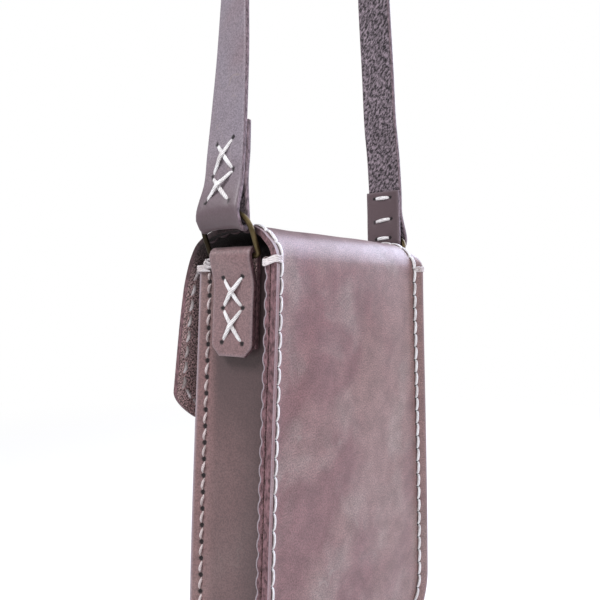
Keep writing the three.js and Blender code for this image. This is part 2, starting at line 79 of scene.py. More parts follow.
# Body: half widths are at the stitch line, depths are from the middle of the gusset
SEAM_HALF_TOP = 50.5 * MM
SEAM_HALF_LOW = 56.5 * MM
WIDENING = 1.3
BODY_DROP = 168 * MM
CORNER_RADIUS = 18 * MM
CORNER_TOP = -(BODY_DROP - CORNER_RADIUS)
BACK_FACE = 19.8 * MM
FRONT_FACE = 15.2 * MM
FRONT_CROWN = 2 * MM
CROWN_TOP = 36 * MM

# Sewn flanges
BACK_SPLAY = math.radians(24)
FRONT_SPLAY = math.radians(66)
BACK_BEND = 8 * MM * BACK_SPLAY  # leather taken up by the bend
FRONT_BEND = 1.2 * MM * FRONT_SPLAY
SEAM_ALLOWANCE = 5.5 * MM
FRONT_ALLOWANCE = 4.4 * MM
FLAP_ALLOWANCE = 3.3 * MM
STITCH_INSET = 0.9 * MM

# Gusset
RECESS = 3.6 * MM
GUSSET_TOP_BACK = 0.6 * MM
GUSSET_TOP_FRONT = -2 * MM

# Roll and flap
ROLL_RISE = 13.2 * MM
FLAP_DROP = 61.5 * MM
FLAP_SAG = 1.8 * MM  # the real flap hangs this much lower than the frame's
FLAP_REACH = 34.2 * MM
FLAP_CORNER = 12 * MM  # the real flap is cut a little deeper than the frame's
CORNER_EASE = 1.6  # 1 cuts the flap's corners straight, more rounds them
SPLAY_FADE = 8 * MM
PANEL_TOP = -2 * MM

# Stud and keyhole
STUD_DROP = 46 * MM
STUD_BASE_RADIUS = 4.5 * MM
STUD_BASE_THICKNESS = 1.2 * MM
STUD_NECK_RADIUS = 1.7 * MM
STUD_NECK_LENGTH = 3.4 * MM
STUD_HEAD_RADIUS = 3.1 * MM
STUD_EASE = 0.3 * MM
KEYHOLE_RADIUS = STUD_HEAD_RADIUS + 0.4 * MM
KEYHOLE_SLIT = 5 * MM
KEYHOLE_SLIT_HALF = 0.8 * MM
KEYHOLE_COLLAR = 0.7 * MM  # ring of close knots that keeps the rounding at the rim
KEYHOLE_MARGIN = 2 * MM
KEYHOLE_KNOTS = 48
SLIT_ANGLES = (0.03, 0.06, 0.0945, 0.12, 0.16, 0.2305)  # radians from straight up, for its corners

# Tabs, rings and strap
STRAP_WIDTH = 19 * MM
LUG_TURN = math.radians(4)
TAB_TOP = 1.8 * MM
TAB_DROP = 35 * MM
TAB_UNDER_DROP = 32 * MM
TAB_CORNER = 3.6 * MM
TAB_THROAT = 9 * MM
TAB_SHOULDER = 0.55
TAB_BEND = (-15, 180)
WIRE_RADIUS = 1.2 * MM
SEEN_WIRE = 1.0 * MM  # the real wire looks this thin; the frame's is stouter
RING_HALF = 20.4 * MM / 2 + WIRE_RADIUS
RING_LEG = 6.4 * MM
RING_ARCH = 10.8 * MM
RING_SQUARENESS = 3
RING_CORNER = 1.6 * MM
STRAP_RISE = 500 * MM
LEG_SPREAD = 59.5 * MM
FOLDED_SLOPE = 0.08
STRAP_BEND = (175, 345)
LOOP_EDGE = STRAP_WIDTH / 2 + 0.3 * MM
SAG_SHARE = 0.55  # how much of the arch's fall the strap's loop follows
SAG_END = 30 * MM
PEG_RADIUS = 12 * MM
PEG_ANGLES = (0, 45, 90, 135, 180)
PEG_TURN = math.radians(20)
TAB_LOOP = WIRE_RADIUS + GAP + LEATHER / 2
STRAP_LOOP = TAB_LOOP - 0.2 * MM  # soft leather lies closer to the wire than the frame's strap
TAB_INNER = GAP + LEATHER / 2
TAB_OUTER = TAB_INNER + LAYER
BAR_OUT = TAB_INNER + TAB_LOOP

# Each side of the bag: its sign along X, the lean of its ring and the top of its folded end
Side = namedtuple("Side", "name sign lean folded_top")
SIDES = (
    Side("right", 1, math.radians(25), 50 * MM),
    Side("left", -1, math.radians(28), 40.5 * MM),
)
RIGHT, LEFT = SIDES

# Height as a share of STRAP_RISE, spread of each leg as a share of LEG_SPREAD, turns in degrees
LegRow = namedtuple("LegRow", "height right left right_turn left_turn")
LEG_ROWS = (
    LegRow(0.058, 0.973, 1.0, 1.5, 4),
    LegRow(0.078, 0.954, 0.99, 2.8, 4.4),
    LegRow(0.116, 0.922, 0.952, 7.5, 5.6),
    LegRow(0.15, 0.898, 0.898, 12, 7.2),
    LegRow(0.2, 0.857, 0.823, 18, 9.2),
    LegRow(0.28, 0.782, 0.71, 20, 12),
    LegRow(0.45, 0.625, 0.585, 20, 16),
    LegRow(0.7, 0.41, 0.4, 20, 19),
    LegRow(0.9, 0.243, 0.243, 20, 20),
)
FOLDED_ROWS = 3  # the folded end lies along the lowest rows
TWIST_ROW = LEG_ROWS[3]  # the legs lie straight above each other up to this row
FOLDED_TURNS = (0, 3)  # turns of the strap's curve at the folded end
LEG_TURNS = (8, 13)  # turns at the crosses of the leg

# Depth as a share of BACK_FACE behind the middle and of FLAP_REACH in front of it, height as a
# share of ROLL_RISE up and of FLAP_DROP down
RollRow = namedtuple("RollRow", "depth height")
ROLL_ROWS = (
    RollRow(1.0, 0.04),
    RollRow(0.99, 0.17),
    RollRow(0.94, 0.41),
    RollRow(0.815, 0.69),
    RollRow(0.6, 0.895),
    RollRow(0.28, 0.99),
    RollRow(-0.07, 0.985),
    RollRow(-0.27, 0.9),
    RollRow(-0.43, 0.75),
    RollRow(-0.56, 0.52),
    RollRow(-0.65, 0.17),
    RollRow(-0.715, -0.05),
    RollRow(-0.765, -0.14),
    RollRow(-0.8, -0.235),
    RollRow(-0.84, -0.36),
    RollRow(-0.875, -0.49),
    RollRow(-0.94, -0.75),
    RollRow(-1.0, -1.0),
)

# Gusset wall: depth as a share from the front seam to the back seam, sink as a share of RECESS
WallRow = namedtuple("WallRow", "depth sink")
WALL_ROWS = (
    WallRow(0.1, 0.22),
    WallRow(0.3, 0.38),
    WallRow(0.55, 0.58),
    WallRow(0.76, 0.77),
    WallRow(0.87, 0.97),
)

# Crosses sewn through the tabs and the strap's ends: height, half width and slope of each row
CrossRow = namedtuple("CrossRow", "height half rise")
TAB_CROSSES = (
    CrossRow(-5.6 * MM, 4.6 * MM, 0.4 * MM),
    CrossRow(-17.2 * MM, 4.7 * MM, 0.1 * MM),
    CrossRow(-30.0 * MM, 4.8 * MM, -0.2 * MM),
)
STRAP_CROSSES = (
    CrossRow(43.4 * MM, 4.3 * MM, 1.1 * MM),
    CrossRow(31.4 * MM, 5.3 * MM, 1.5 * MM),
    CrossRow(20.6 * MM, 5.6 * MM, -1.0 * MM),
)
BARS = (
    CrossRow(37.2 * MM, 4.8 * MM, 0.0 * MM),
    CrossRow(25.8 * MM, 5.0 * MM, 0.9 * MM),
    CrossRow(16.6 * MM, 4.2 * MM, 0.0 * MM),
)

# How finely the sheets are divided
FINE = 1.05 * MM
ACROSS_STEP = 2.4 * MM
FLANGE_SHARES = np.array((1, 0.84, 0.62, 0.4, 0.18, 0))
BEND_STEPS = 4
GUSSET_STEPS = 26
RIBBON_COLUMNS = 18
WIRE_SIDES = 20
TURNED_SIDES = 48
THREAD_SIDES = 10
STRAP_STEP = 1.6 * MM
FLANGE_STEPS = 4
LOOP_KNOTS = 6
ARCH_KNOTS = 41
BAR_KNOTS = 5
CORNER_SHARES = np.linspace(0.1, 0.9, 5)
HEAD_KNOTS = 16
SEAM_SAMPLES = 241
ROLL_SAMPLES = 400
TURN_SAMPLES = 200
TANGENT_STEP = 1e-3  # turns to either side of the place where a curve's direction is taken
NEARLY_FLAT = 1e-4  # the least splay, so that the bend's radius is a number
TINY = 1e-6
FAR = 1.0  # metres, further away than any mark shows

# How the leather gives: dents under the thread, and waves that die out towards what holds it
HOLE_DENT = 0.4 * MM
ROW_DENT = 0.22 * MM
ROW_DENT_REACH = 1.2 * MM
WAVE_MARGIN = 2 * MM
WAVE_EASE = 14 * MM
WAVE_SIZE = 26 * MM
NOISE_REACH = 0.5  # Blender's noise goes about this far either way
SHELL_RUB = 0.55 * MM
GUSSET_RUB = 0.8 * MM

# Where the darkest painted shade ends and where the plain leather begins, measured on the flat
# leather
STRAP_DARK = (38 * MM, 70 * MM)
ROLL_DUSK = (8 * MM, 18 * MM)
ROLL_DARK = (42 * MM, 76 * MM)
GUSSET_DARK = (72 * MM, 32 * MM)  # below the top stitches
WALL_DARK = (0.1, 0.22)  # shares of the gusset's width
WALL_DEPTH = 0.5
FOLD_DARK = (0.4, 0.8)
FOLD_DEPTH = 0.88
# painted shade: the wire darkens towards the bag's front, where its leg lies in shadow
BRASS_DARK = (3 * MM, -6 * MM)  # depths between which the wire grows dark
ROLL_SHADOW = 56 * MM  # the inner stitches are dark this far round the roll

# Strands: widths are shares of the thread's width, heights and depths of its height
TAPER = 0.55  # width in the hole, against the width in the middle
TAPER_EASE = 0.6  # less keeps the full width nearer to the ends
PROUD = 0.42  # how high a strand's middle lies over the leather
SUNK = 0.9  # how deep its ends lie in their holes
STITCH_STEPS = 11
SPAN_STEPS = 17
SPAN_DIP = 0.3
HUMP_REACH = 0.17  # share of a strand that rises over another
CROSS_WIDTH = 1.2
CROSS_HUMP = 0.8
BAR_WIDTH = 1.25
WRAP_SHIFTS = (-0.5, 0, 0.5)
WRAP_WIDTH = 0.7
WRAP_STEPS = 40
WRAP_FALL = 1.2 * MM  # how much lower the wraps end than they start
WRAP_SLACK = 0.5 * MM
KNOT_TURNS = 2.3
KNOT_HALF = 2.1 * MM
KNOT_DROP = 3.6 * MM
KNOT_START = 0.6  # width of its first turn, against its last
KNOT_FLATNESS = 0.5
KNOT_LIFT = 0.9
KNOT_RIPPLE = 0.5
KNOT_LAG = 1  # radians by which its rise lags its turn
KNOT_WIDTH = 0.75
KNOT_STEPS = 30


def linear(hex_colour):
    """An sRGB hex colour as the linear red, green and blue that shaders take."""
    shades = [int(hex_colour[i : i + 2], 16) / 255 for i in (1, 3, 5)]
    return tuple(s / 12.92 if s <= 0.04045 else ((s + 0.055) / 1.055) ** 2.4 for s in shades)


def size(name, description, default):
    """A length that a user may change."""
    return bpy.props.FloatProperty(
        name=name, description=description, default=default, min=0, precision=5, unit="LENGTH"
    )


def colour(name, description, default):
    """A colour that a user may change."""
    return bpy.props.FloatVectorProperty(
        name=name,
        description=description,
        default=linear(default),
        min=0,
        max=1,
        subtype="COLOR",
    )


class PhoneBagSizes(bpy.types.PropertyGroup):
    """Sizes of the handwork, which the frame leaves open"""

    stitch: size("Stitch", "Distance between two stitch holes", 6.3 * MM)
    thread_width: size("Thread width", "Width of the waxed thread", 1.5 * MM)
    thread_height: size("Thread height", "Thickness of the waxed thread", 0.95 * MM)
    hole: size("Hole", "Radius of an awl hole at the surface", 0.75 * MM)
    edge_round: size("Edge round", "Rounding of the cut edges", 0.4 * MM)
    scallop: size("Scallop", "How deep the stitches squeeze the gusset's edge", 0.7 * MM)
    wave: size("Wave", "Unevenness of the flat panels", 0.35 * MM)


class PhoneBagColours(bpy.types.PropertyGroup):
    """Colours of the leather, thread and metal"""

    taupe: colour("Taupe", "Main tone of the grain side", "#7d6261")
    rose: colour("Rose", "Reddish clouds of the grain side", "#704e51")
    smoke: colour("Smoke", "Grey pull-up clouds of the grain side", "#8c7e7b")
    # painted shade: the tone towards which shaded places are darkened
    painted_shade: colour("Handled", "Grain darkened by handling", "#4f3d42")
    # pale rim beside the cut edges: rubbed grain with a painted highlight
    margin: colour("Margin", "Rubbed grain beside the cut edges", "#9c9099")
    tab: colour("Tab", "Main tone of the tabs", "#7a6264")
    gusset: colour("Gusset", "Main tone of the gusset", "#7e6463")
    # painted shade: the browner tone of the gusset's shaded wall, its back fold and the places under
    # the tabs
    painted_shade_umber: colour("Umber", "Browner grain that handling has darkened on the gusset", "#3e3032")
    strap: colour("Strap", "Main tone of the strap", "#7c727d")
    flesh: colour("Flesh", "Fibres of the flesh side", "#a38a8a")
    strap_flesh: colour("Strap flesh", "Fibres of the strap's flesh side", "#62585f")
    cut: colour("Cut edge", "Raw cut edges", "#6a4f54")
    strap_cut: colour("Strap edge", "Raw cut edges of the strap", "#6f5f66")
    thread: colour("Thread", "Waxed thread", "#f3f2f4")
    worn_thread: colour("Worn thread", "Thread of the seams that the hand rubs", "#dccdce")
    dull_thread: colour("Dull thread", "Thread of the flap's flesh side and of the wraps", "#ebe4e6")
    grime: colour("Grime", "Grime in the thread's wax", "#a3918f")
    brass: colour("Brass", "Aged brass", "#4e452f")
    floor: colour("Floor", "Floor under the bag", "#f4f3f2")


# Vectors and curves


def vec(x, y, z):
    return np.array((x, y, z), float)


def unit(vector):
    return vector / np.linalg.norm(vector, axis=-1, keepdims=True)


def share(value, low, high):
    """How far value lies from low to high, kept between 0 and 1."""
    return min(max((value - low) / (high - low), 0.0), 1.0)


def lerp(low, high, part):
    return low + (high - low) * part


def mirrored(point, side):
    """The point on the bag's right side, or its mirror image on the left."""
    return np.array(point) * (side, 1, 1)


class Curve:
    """A smooth line through points: a centripetal Catmull-Rom curve, as the frame's own are."""

    def __init__(self, points, fineness=24):
        points = np.array(points, float)
        first = 2 * points[0] - points[1]
        last = 2 * points[-1] - points[-2]
        self.points = np.vstack((first, points, last))
        self.count = len(points)
        self.turns = np.linspace(0, self.count - 1, (self.count - 1) * fineness + 1)
        samples = np.array([self.at(turn) for turn in self.turns])
        steps = np.linalg.norm(np.diff(samples, axis=0), axis=1)
        self.lengths = np.concatenate(((0,), np.cumsum(steps)))
        self.length = self.lengths[-1]

    def at(self, turn):
        """The point at a turn, counted in the points that the curve goes through."""
        k = min(int(turn), self.count - 2)
        p0, p1, p2, p3 = self.points[k : k + 4]
        d0, d1, d2 = (math.sqrt(np.linalg.norm(b - a)) for a, b in ((p0, p1), (p1, p2), (p2, p3)))
        d1 = d1 or 1.0  # points that repeat, as the widths of a straight strip do
        d0 = d0 or d1
        d2 = d2 or d1
        out = ((p1 - p0) / d0 - (p2 - p0) / (d0 + d1) + (p2 - p1) / d1) * d1
        back = ((p2 - p1) / d1 - (p3 - p1) / (d1 + d2) + (p3 - p2) / d2) * d1
        w = turn - k
        bend = -3 * p1 + 3 * p2 - 2 * out - back
        twist = 2 * p1 - 2 * p2 + out + back
        return p1 + out * w + bend * w**2 + twist * w**3

    def tangent(self, turn):
        low, high = max(turn - TANGENT_STEP, 0), min(turn + TANGENT_STEP, self.count - 1)
        return unit(self.at(high) - self.at(low))

    def turn(self, distance):
        """The turn at a distance along the curve."""
        return float(np.interp(distance, self.lengths, self.turns))


# The seam line in the plane of the panels


def seam_half(height):
    down = share(-height, 0, BODY_DROP)
    return lerp(SEAM_HALF_TOP, SEAM_HALF_LOW, math.sin(down * math.pi / 2) ** WIDENING)


class SeamPath:
    """The seam line from the top stitches down one side and round to the middle of the bottom."""

    def __init__(self):
        heights = np.linspace(0, CORNER_TOP, SEAM_SAMPLES)
        halves = np.array([seam_half(h) for h in heights])
        steps = np.hypot(np.diff(halves), np.diff(heights))
        self.heights = heights
        self.lengths = np.concatenate(((0,), np.cumsum(steps)))
        self.side = self.lengths[-1]
        self.corner_middle = halves[-1] - CORNER_RADIUS
        self.round = CORNER_RADIUS * math.pi / 2
        self.length = self.side + self.round + self.corner_middle

    def station(self, distance):
        """A point of the seam and its outward direction."""
        if distance <= self.side:
            inside = distance > 0
            height = float(np.interp(distance, self.lengths, self.heights)) if inside else -distance
            lean = seam_half(height - MM) - seam_half(height)
            return vec(seam_half(height), 0, height), unit(vec(1, 0, lean / MM))
        if distance <= self.side + self.round:
            angle = (distance - self.side) / CORNER_RADIUS
            across = vec(math.cos(angle), 0, -math.sin(angle))
            return vec(self.corner_middle, 0, CORNER_TOP) + across * CORNER_RADIUS, across
        rest = distance - self.side - self.round
        return vec(self.corner_middle - rest, 0, -BODY_DROP), vec(0, 0, -1)

    def distances(self, height, end):
        """Even steps from a height near the top to a distance along the seam."""
        return np.linspace(-height, end, round((end + height) / FINE) + 1)


SEAM = SeamPath()


# Sheets of leather


class Sheet:
    """Leather as a net of knots, each with its place on the grain side and in the flat pattern."""

    def __init__(self):
        self.points = []
        self.normals = []
        self.flats = []
        self.faces = []
        self.size = 0

    def line(self, points, normals, flats):
        """Adds a line of knots and returns their numbers."""
        self.points.append(points)
        self.normals.append(np.broadcast_to(normals, points.shape))
        self.flats.append(flats)
        self.size += len(points)
        return np.arange(self.size - len(points), self.size)

    def weave(self, line_a, line_b):
        self.faces += zip(line_a[:-1], line_a[1:], line_b[1:], line_b[:-1])

    def weave_all(self, lines):
        for line_a, line_b in zip(lines, lines[1:]):
            self.weave(line_a, line_b)

    def border(self):
        """The edges that only one face has, as pairs of knots."""
        edges = {}
        for face in self.faces:
            for a, b in zip(face, face[1:] + face[:1]):
                if edges.pop((b, a), None) is None:
                    edges[a, b] = (a, b)
        return list(edges)


class StitchLine:
    """A row of stitch holes on the surface of the leather, at whole counts along the line."""

    def __init__(self, counts, points, normals):
        self.counts = np.array(counts, float)
        self.points = np.array(points)
        self.normals = np.array(normals)

    def at(self, count):
        """The surface's point and normal at a count."""
        point, normal = (
            np.array([np.interp(count, self.counts, column) for column in table.T])
            for table in (self.points, self.normals)
        )
        return point, unit(normal)

    def first(self):
        return math.ceil(self.counts[0] - TINY)

    def holes(self):
        """The whole counts on the line."""
        return range(self.first(), math.floor(self.counts[-1] + TINY) + 1)

    def under(self, depth):
        """The same line on the other face of the leather."""
        return StitchLine(self.counts, self.points - self.normals * depth, -self.normals)

    def cut(self, low, high):
        """The stretch of the line between two counts; no high count leaves its end."""
        kept = self.counts >= low
        if high is not None:
            kept &= self.counts <= high
        return StitchLine(self.counts[kept], self.points[kept], self.normals[kept])

    def mirror(self):
        flip = (-1, 1, 1)
        return StitchLine(self.counts, self.points * flip, self.normals * flip)


def even_pitch(length, stitch):
    """The stitch length that puts the middle of a stitch at the end of a line."""
    return length / (round(length / stitch - 0.5) + 0.5)


def nearest(points, targets):
    """Distance from each point to the nearest of some others."""
    tree = KDTree(len(targets))
    for number, target in enumerate(targets):
        tree.insert(target, number)
    tree.balance()
    return np.array([tree.find(point)[2] for point in points])


def surface_marks(points, border, lines, crosses):
    """For each knot, how far it is from a stitch hole, from a row of stitches and from a cut."""
    holes = [line.at(count)[0] for line in lines for count in line.holes()]
    holes += crosses
    rows = [point for line in lines for point in line.points] + crosses
    far = np.full(len(points), FAR)
    hole = nearest(points, holes) if holes else far
    row = nearest(points, rows) if rows else far
    edge = nearest(points, [points[a] for a, _ in border])
    return np.stack((hole, row, edge), axis=1)


def pressed(marks, sizes):
    """How deep the thread presses the leather in, at the holes and between them."""
    hole, row = marks[:, 0], marks[:, 1]
    at_hole = HOLE_DENT * np.exp(-((hole / sizes.hole) ** 2) / 2)
    return at_hole + ROW_DENT * np.exp(-((row / ROW_DENT_REACH) ** 2))


def waves(flats, marks, sizes):
    """Unevenness of a sheet, which dies out towards its rows of stitches and its edges."""
    held = np.minimum(marks[:, 1], marks[:, 2])
    free = np.clip((held - WAVE_MARGIN) / WAVE_EASE, 0, 1) ** 2
    rise = np.array([noise.noise((x, y, 0.5)) for x, y in flats / WAVE_SIZE])
    return sizes.wave * free * rise / NOISE_REACH


def plain(flat):
    return 0


def leather_object(
    name,
    sheet,
    finish,
    lines=(),
    crosses=(),
    nodes=(),
    shade_at=plain,
    rubbed=None,
    squeeze_at=plain,
):
    """A sheet as a closed, round-edged mesh that hangs in the frame and stands for its nodes.

    shade_at tells how deep the painted shade is, from 0 to 1, at a place on the flat leather,
    and squeeze_at how deep the thread squeezes it there. rubbed is how far the rubbed grain
    reaches over the cut edge.
    """
    sizes = bpy.context.scene.phone_bag_sizes
    rubbed = rubbed or sizes.edge_round
    points = np.vstack(sheet.points)
    normals = unit(np.vstack(sheet.normals))
    flats = np.vstack(sheet.flats)
    border = sheet.border()
    marks = surface_marks(points, border, lines, list(crosses))
    points = points + normals * waves(flats, marks, sizes)[:, None]
    squeeze = np.array([squeeze_at(flat) for flat in flats])
    press = (pressed(marks, sizes) + squeeze)[:, None]
    grain = points - normals * press
    flesh = points - normals * (LEATHER - press / 2)
    made = bmesh.new()
    flat_layer = made.verts.layers.float_vector.new("flat")
    mark_layer = made.verts.layers.float_vector.new("marks")
    shade_layer = made.verts.layers.float.new("shade")
    faces_of = []
    for places in (grain, flesh):
        verts = [made.verts.new(place) for place in places]
        for vert, flat, mark in zip(verts, flats, marks):
            vert[flat_layer] = (flat[0], flat[1], 0)
            vert[mark_layer] = mark
            vert[shade_layer] = shade_at(flat)
        faces_of.append(verts)
    for material, verts in enumerate(faces_of):
        for face in sheet.faces:
            made.faces.new([verts[k] for k in face]).material_index = material
    grain_rims, flesh_rims = [], []
    for a, b in border:
        cut = [faces_of[0][a], faces_of[0][b], faces_of[1][b], faces_of[1][a]]
        made.faces.new(cut).material_index = 2
        grain_rims.append(made.edges.get(cut[:2]))
        flesh_rims.append(made.edges.get(cut[2:]))
    bmesh.ops.recalc_face_normals(made, faces=made.faces)
    for material, offset, rims in ((2, sizes.edge_round, flesh_rims), (0, rubbed, grain_rims)):
        bmesh.ops.bevel(
            made,
            geom=rims,
            offset=offset,
            segments=2,
            profile=0.5,
            affect="EDGES",
            material=material,
            clamp_overlap=True,
        )
    return hang(name, made, finish, nodes)


def skin(made, rings):
    """Joins rings of corners into a tube."""
    for ring_a, ring_b in zip(rings, rings[1:]):
        for k, corner in enumerate(ring_a):
            j = (k + 1) % len(ring_a)
            made.faces.new((corner, ring_a[j], ring_b[j], ring_b[k]))


def hang(name, made, materials, nodes=(), sharp=50):
    """Lowers a mesh from the bag's own level to the frame's and puts it in the scene.

    Edges bent by more than sharp degrees stay sharp.
    """
    bmesh.ops.translate(made, verts=made.verts, vec=(0, 0, -STRAP_RISE))
    mesh = bpy.data.meshes.new(name)
    made.to_mesh(mesh)
    made.free()
    mesh.shade_smooth()
    mesh.set_sharp_from_angle(angle=math.radians(sharp))
    for material in materials:
        mesh.materials.append(material)
    piece = bpy.data.objects.new(name, mesh)
    bpy.context.scene.collection.objects.link(piece)
    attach(piece, "root")
    if nodes:
        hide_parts(*nodes)
    return piece


# Where painted shade darkens the leather


def strap_shade(length):
    """Painted shade: the strap is darkest on its folded ends and round its loops."""
    return lambda flat: 1 - share(min(flat[1], length - flat[1]), *STRAP_DARK)


def roll_shade(flat):
    """Painted shade: inside the roll the flesh side is darkest."""
    return share(flat[1], *ROLL_DUSK) * (1 - share(flat[1], *ROLL_DARK))


def gusset_squeeze(sizes):
    """The stitches squeeze the back edge of the gusset thinner, so that it looks scalloped."""
    pitch = even_pitch(SEAM.length, sizes.stitch)
    low = np.interp(GUSSET_BACK_TURN, GUSSET.turns, GUSSET.lengths)

    def squeeze(flat):
        at_hole = (1 + math.cos(2 * math.pi * (SEAM.length - abs(flat[1])) / pitch)) / 2
        return sizes.scallop * at_hole**2 * share(flat[0], low - SEAM_ALLOWANCE, GUSSET.length)

    return squeeze


def gusset_shade(flat):
    """Painted shade: the gusset is paler on its front flange, darkest under the tabs and at the back
    fold.
    """
    across = flat[0] / GUSSET.length
    low, high = (SEAM.length - below for below in GUSSET_DARK)
    wall = lerp(WALL_DEPTH, 1, share(abs(flat[1]), low, high)) * share(across, *WALL_DARK)
    return lerp(wall, max(wall, FOLD_DEPTH), share(across, *FOLD_DARK))


# Panels with sewn flanges

Section = namedtuple("Section", "along out lift tilt")


def flange_section(splay, bend, allowance):
    """Section of a sewn edge, from the cut edge inwards.

    along is measured on the leather from the stitches, out in the panel's plane, lift out of it.
    """
    splay = max(splay, NEARLY_FLAT)
    radius = bend / splay
    cos, sin = math.cos(splay), math.sin(splay)
    top = STITCH_INSET * sin + radius * (1 - cos)
    along = np.concatenate((FLANGE_SHARES * allowance, (-STITCH_INSET,)))
    tilt = splay * (1 - np.arange(1, BEND_STEPS + 1) / BEND_STEPS)
    return Section(
        np.concatenate((along, -STITCH_INSET - radius * (splay - tilt))),
        np.concatenate((along * cos, -STITCH_INSET * cos - radius * (sin - np.sin(tilt)))),
        np.concatenate((top + along * sin, radius * (1 - np.cos(tilt)))),
        np.concatenate((np.full(len(along), splay), tilt)),
    )


Station = namedtuple("Station", "at across face flat flat_across")


def on_flange(station, section, side):
    """Points, normals and flat places of a flange at one side of a panel."""
    across = mirrored(station.across, side)
    points = mirrored(station.at, side) + section.out[:, None] * across
    points = points + section.lift[:, None] * station.face
    normals = np.cos(section.tilt)[:, None] * station.face - np.sin(section.tilt)[:, None] * across
    flats = (station.flat + section.along[:, None] * station.flat_across) * (side, 1)
    return points, normals, flats


def line_across(sheet, station, section, steps, swell=0.0):
    """One line of knots across a panel: left flange, middle, right flange."""
    left = on_flange(station, section, -1)
    right = [table[::-1] for table in on_flange(station, section, 1)]
    part = np.linspace(0, 1, steps + 1)[1:-1, None]
    middle = lerp(left[0][-1], right[0][0], part)
    middle = middle + swell * np.sin(math.pi * part) ** 2 * station.face
    middle_flat = lerp(left[2][-1], right[2][0], part)
    return sheet.line(
        np.vstack((left[0], middle, right[0])),
        np.vstack((left[1], np.broadcast_to(station.face, middle.shape), right[1])),
        np.vstack((left[2], middle_flat, right[2])),
    )


def bottom_rows(sheet, last_line, section, station, steps):
    """Closes the bottom of a panel with rows that run straight across."""
    rings = len(section.along)
    upper = last_line[rings - 1 : len(last_line) - rings + 1]
    part = np.linspace(0, 1, steps + 1)[1:-1]
    for ring in range(rings - 2, -1, -1):
        out, lift, tilt = section.out[ring], section.lift[ring], section.tilt[ring]
        across = lerp(-station.at[0], station.at[0], part)
        points = np.zeros((len(part), 3)) + station.at
        points[:, 0] = across
        points = points + station.face * lift + vec(0, 0, -out)
        normal = station.face * math.cos(tilt) + vec(0, 0, math.sin(tilt))
        flats = np.stack((across, np.full(len(part), station.flat[1] - section.along[ring])), axis=1)
        row = sheet.line(points, normal, flats)
        row = np.concatenate(((last_line[ring],), row, (last_line[-1 - ring],)))
        sheet.weave(row, upper)
        upper = row


def panel_body(sheet, lines, stations, section, steps, swell_at):
    """Weaves the lines of a panel down to its bottom seam."""
    for station in stations:
        lines.append(line_across(sheet, station, section, steps, swell_at(station)))
    sheet.weave_all(lines)
    bottom_rows(sheet, lines[-1], section, station, steps)


# Back panel, roll and flap

ROLL = Curve(
    [
        (
            0,
            row.depth * (BACK_FACE if row.depth > 0 else FLAP_REACH),
            row.height * (ROLL_RISE if row.height > 0 else FLAP_DROP + FLAP_SAG),
        )
        for row in ROLL_ROWS
    ]
)
ROLL_START = ROLL_ROWS[0].height * ROLL_RISE


def roll_station(distance):
    """A station of the roll and flap, with the splay of its edges there."""
    turn = ROLL.turn(distance)
    at = ROLL.at(turn)
    tangent = ROLL.tangent(turn)
    face = vec(0, tangent[2], -tangent[1])
    behind = at[1] > 0 and distance < ROLL.length / 2
    splay = BACK_SPLAY * (1 - share(at[2], 0, SPLAY_FADE) ** 2) if behind else 0
    cut = share(distance, ROLL.length - FLAP_CORNER, ROLL.length) ** CORNER_EASE
    at[0] = SEAM_HALF_TOP - FLAP_CORNER * cut
    flat = np.array((at[0], distance + ROLL_START))
    return Station(at, vec(1, 0, 0), face, flat, np.array((1, 0))), splay


def back_station(distance):
    at, across = SEAM.station(distance)
    flat = np.array((at[0], at[2]))
    at[1] = BACK_FACE
    return Station(at, across, vec(0, 1, 0), flat, np.array((across[0], across[2])))


def roll_allowance(splay):
    return lerp(FLAP_ALLOWANCE, SEAM_ALLOWANCE, splay / BACK_SPLAY)


def back_line(sizes):
    """The right-hand stitches of the back panel, on its grain side."""
    pitch = even_pitch(SEAM.length, sizes.stitch)
    section = flange_section(BACK_SPLAY, BACK_BEND, SEAM_ALLOWANCE)
    on_line = list(section.along).index(0)
    distances = np.linspace(0, SEAM.length, round(SEAM.length / FINE))
    rows = [on_flange(back_station(d), section, 1) for d in distances]
    points = [row[0][on_line] for row in rows]
    normals = [row[1][on_line] for row in rows]
    return StitchLine(distances / pitch, points, normals)


def flap_line(sizes):
    """The right-hand stitches of the roll and flap, up from the top stitches and round the flap."""
    turn_in = FLAP_ALLOWANCE * math.tan(math.pi / 8)
    low = ROLL_START + ROLL.length - FLAP_ALLOWANCE
    corner = FLAP_CORNER - turn_in
    path = [
        (SEAM_HALF_TOP, 0),
        (SEAM_HALF_TOP, low - corner),
        (SEAM_HALF_TOP - corner, low),
        (0, low),
    ]
    points, normals, places, run = [], [], [], 0
    for (x0, v0), (x1, v1) in zip(path, path[1:]):
        length = math.hypot(x1 - x0, v1 - v0)
        for part in np.linspace(0, 1, max(2, round(length / FINE)), endpoint=False):
            x, v = lerp(x0, x1, part), lerp(v0, v1, part)
            station, splay = roll_station(max(v - ROLL_START, 0))
            section = flange_section(splay, BACK_BEND, FLAP_ALLOWANCE)
            lift = section.lift[list(section.along).index(0)]
            at = station.at * (0, 1, 1) + vec(x, 0, 0)
            points.append(at + station.face * lift)
            normals.append(station.face * math.cos(splay) - station.across * math.sin(splay))
            places.append(run + part * length)
        run += length
    pitch = even_pitch(run, sizes.stitch)
    return StitchLine(np.array(places) / pitch, points, normals)


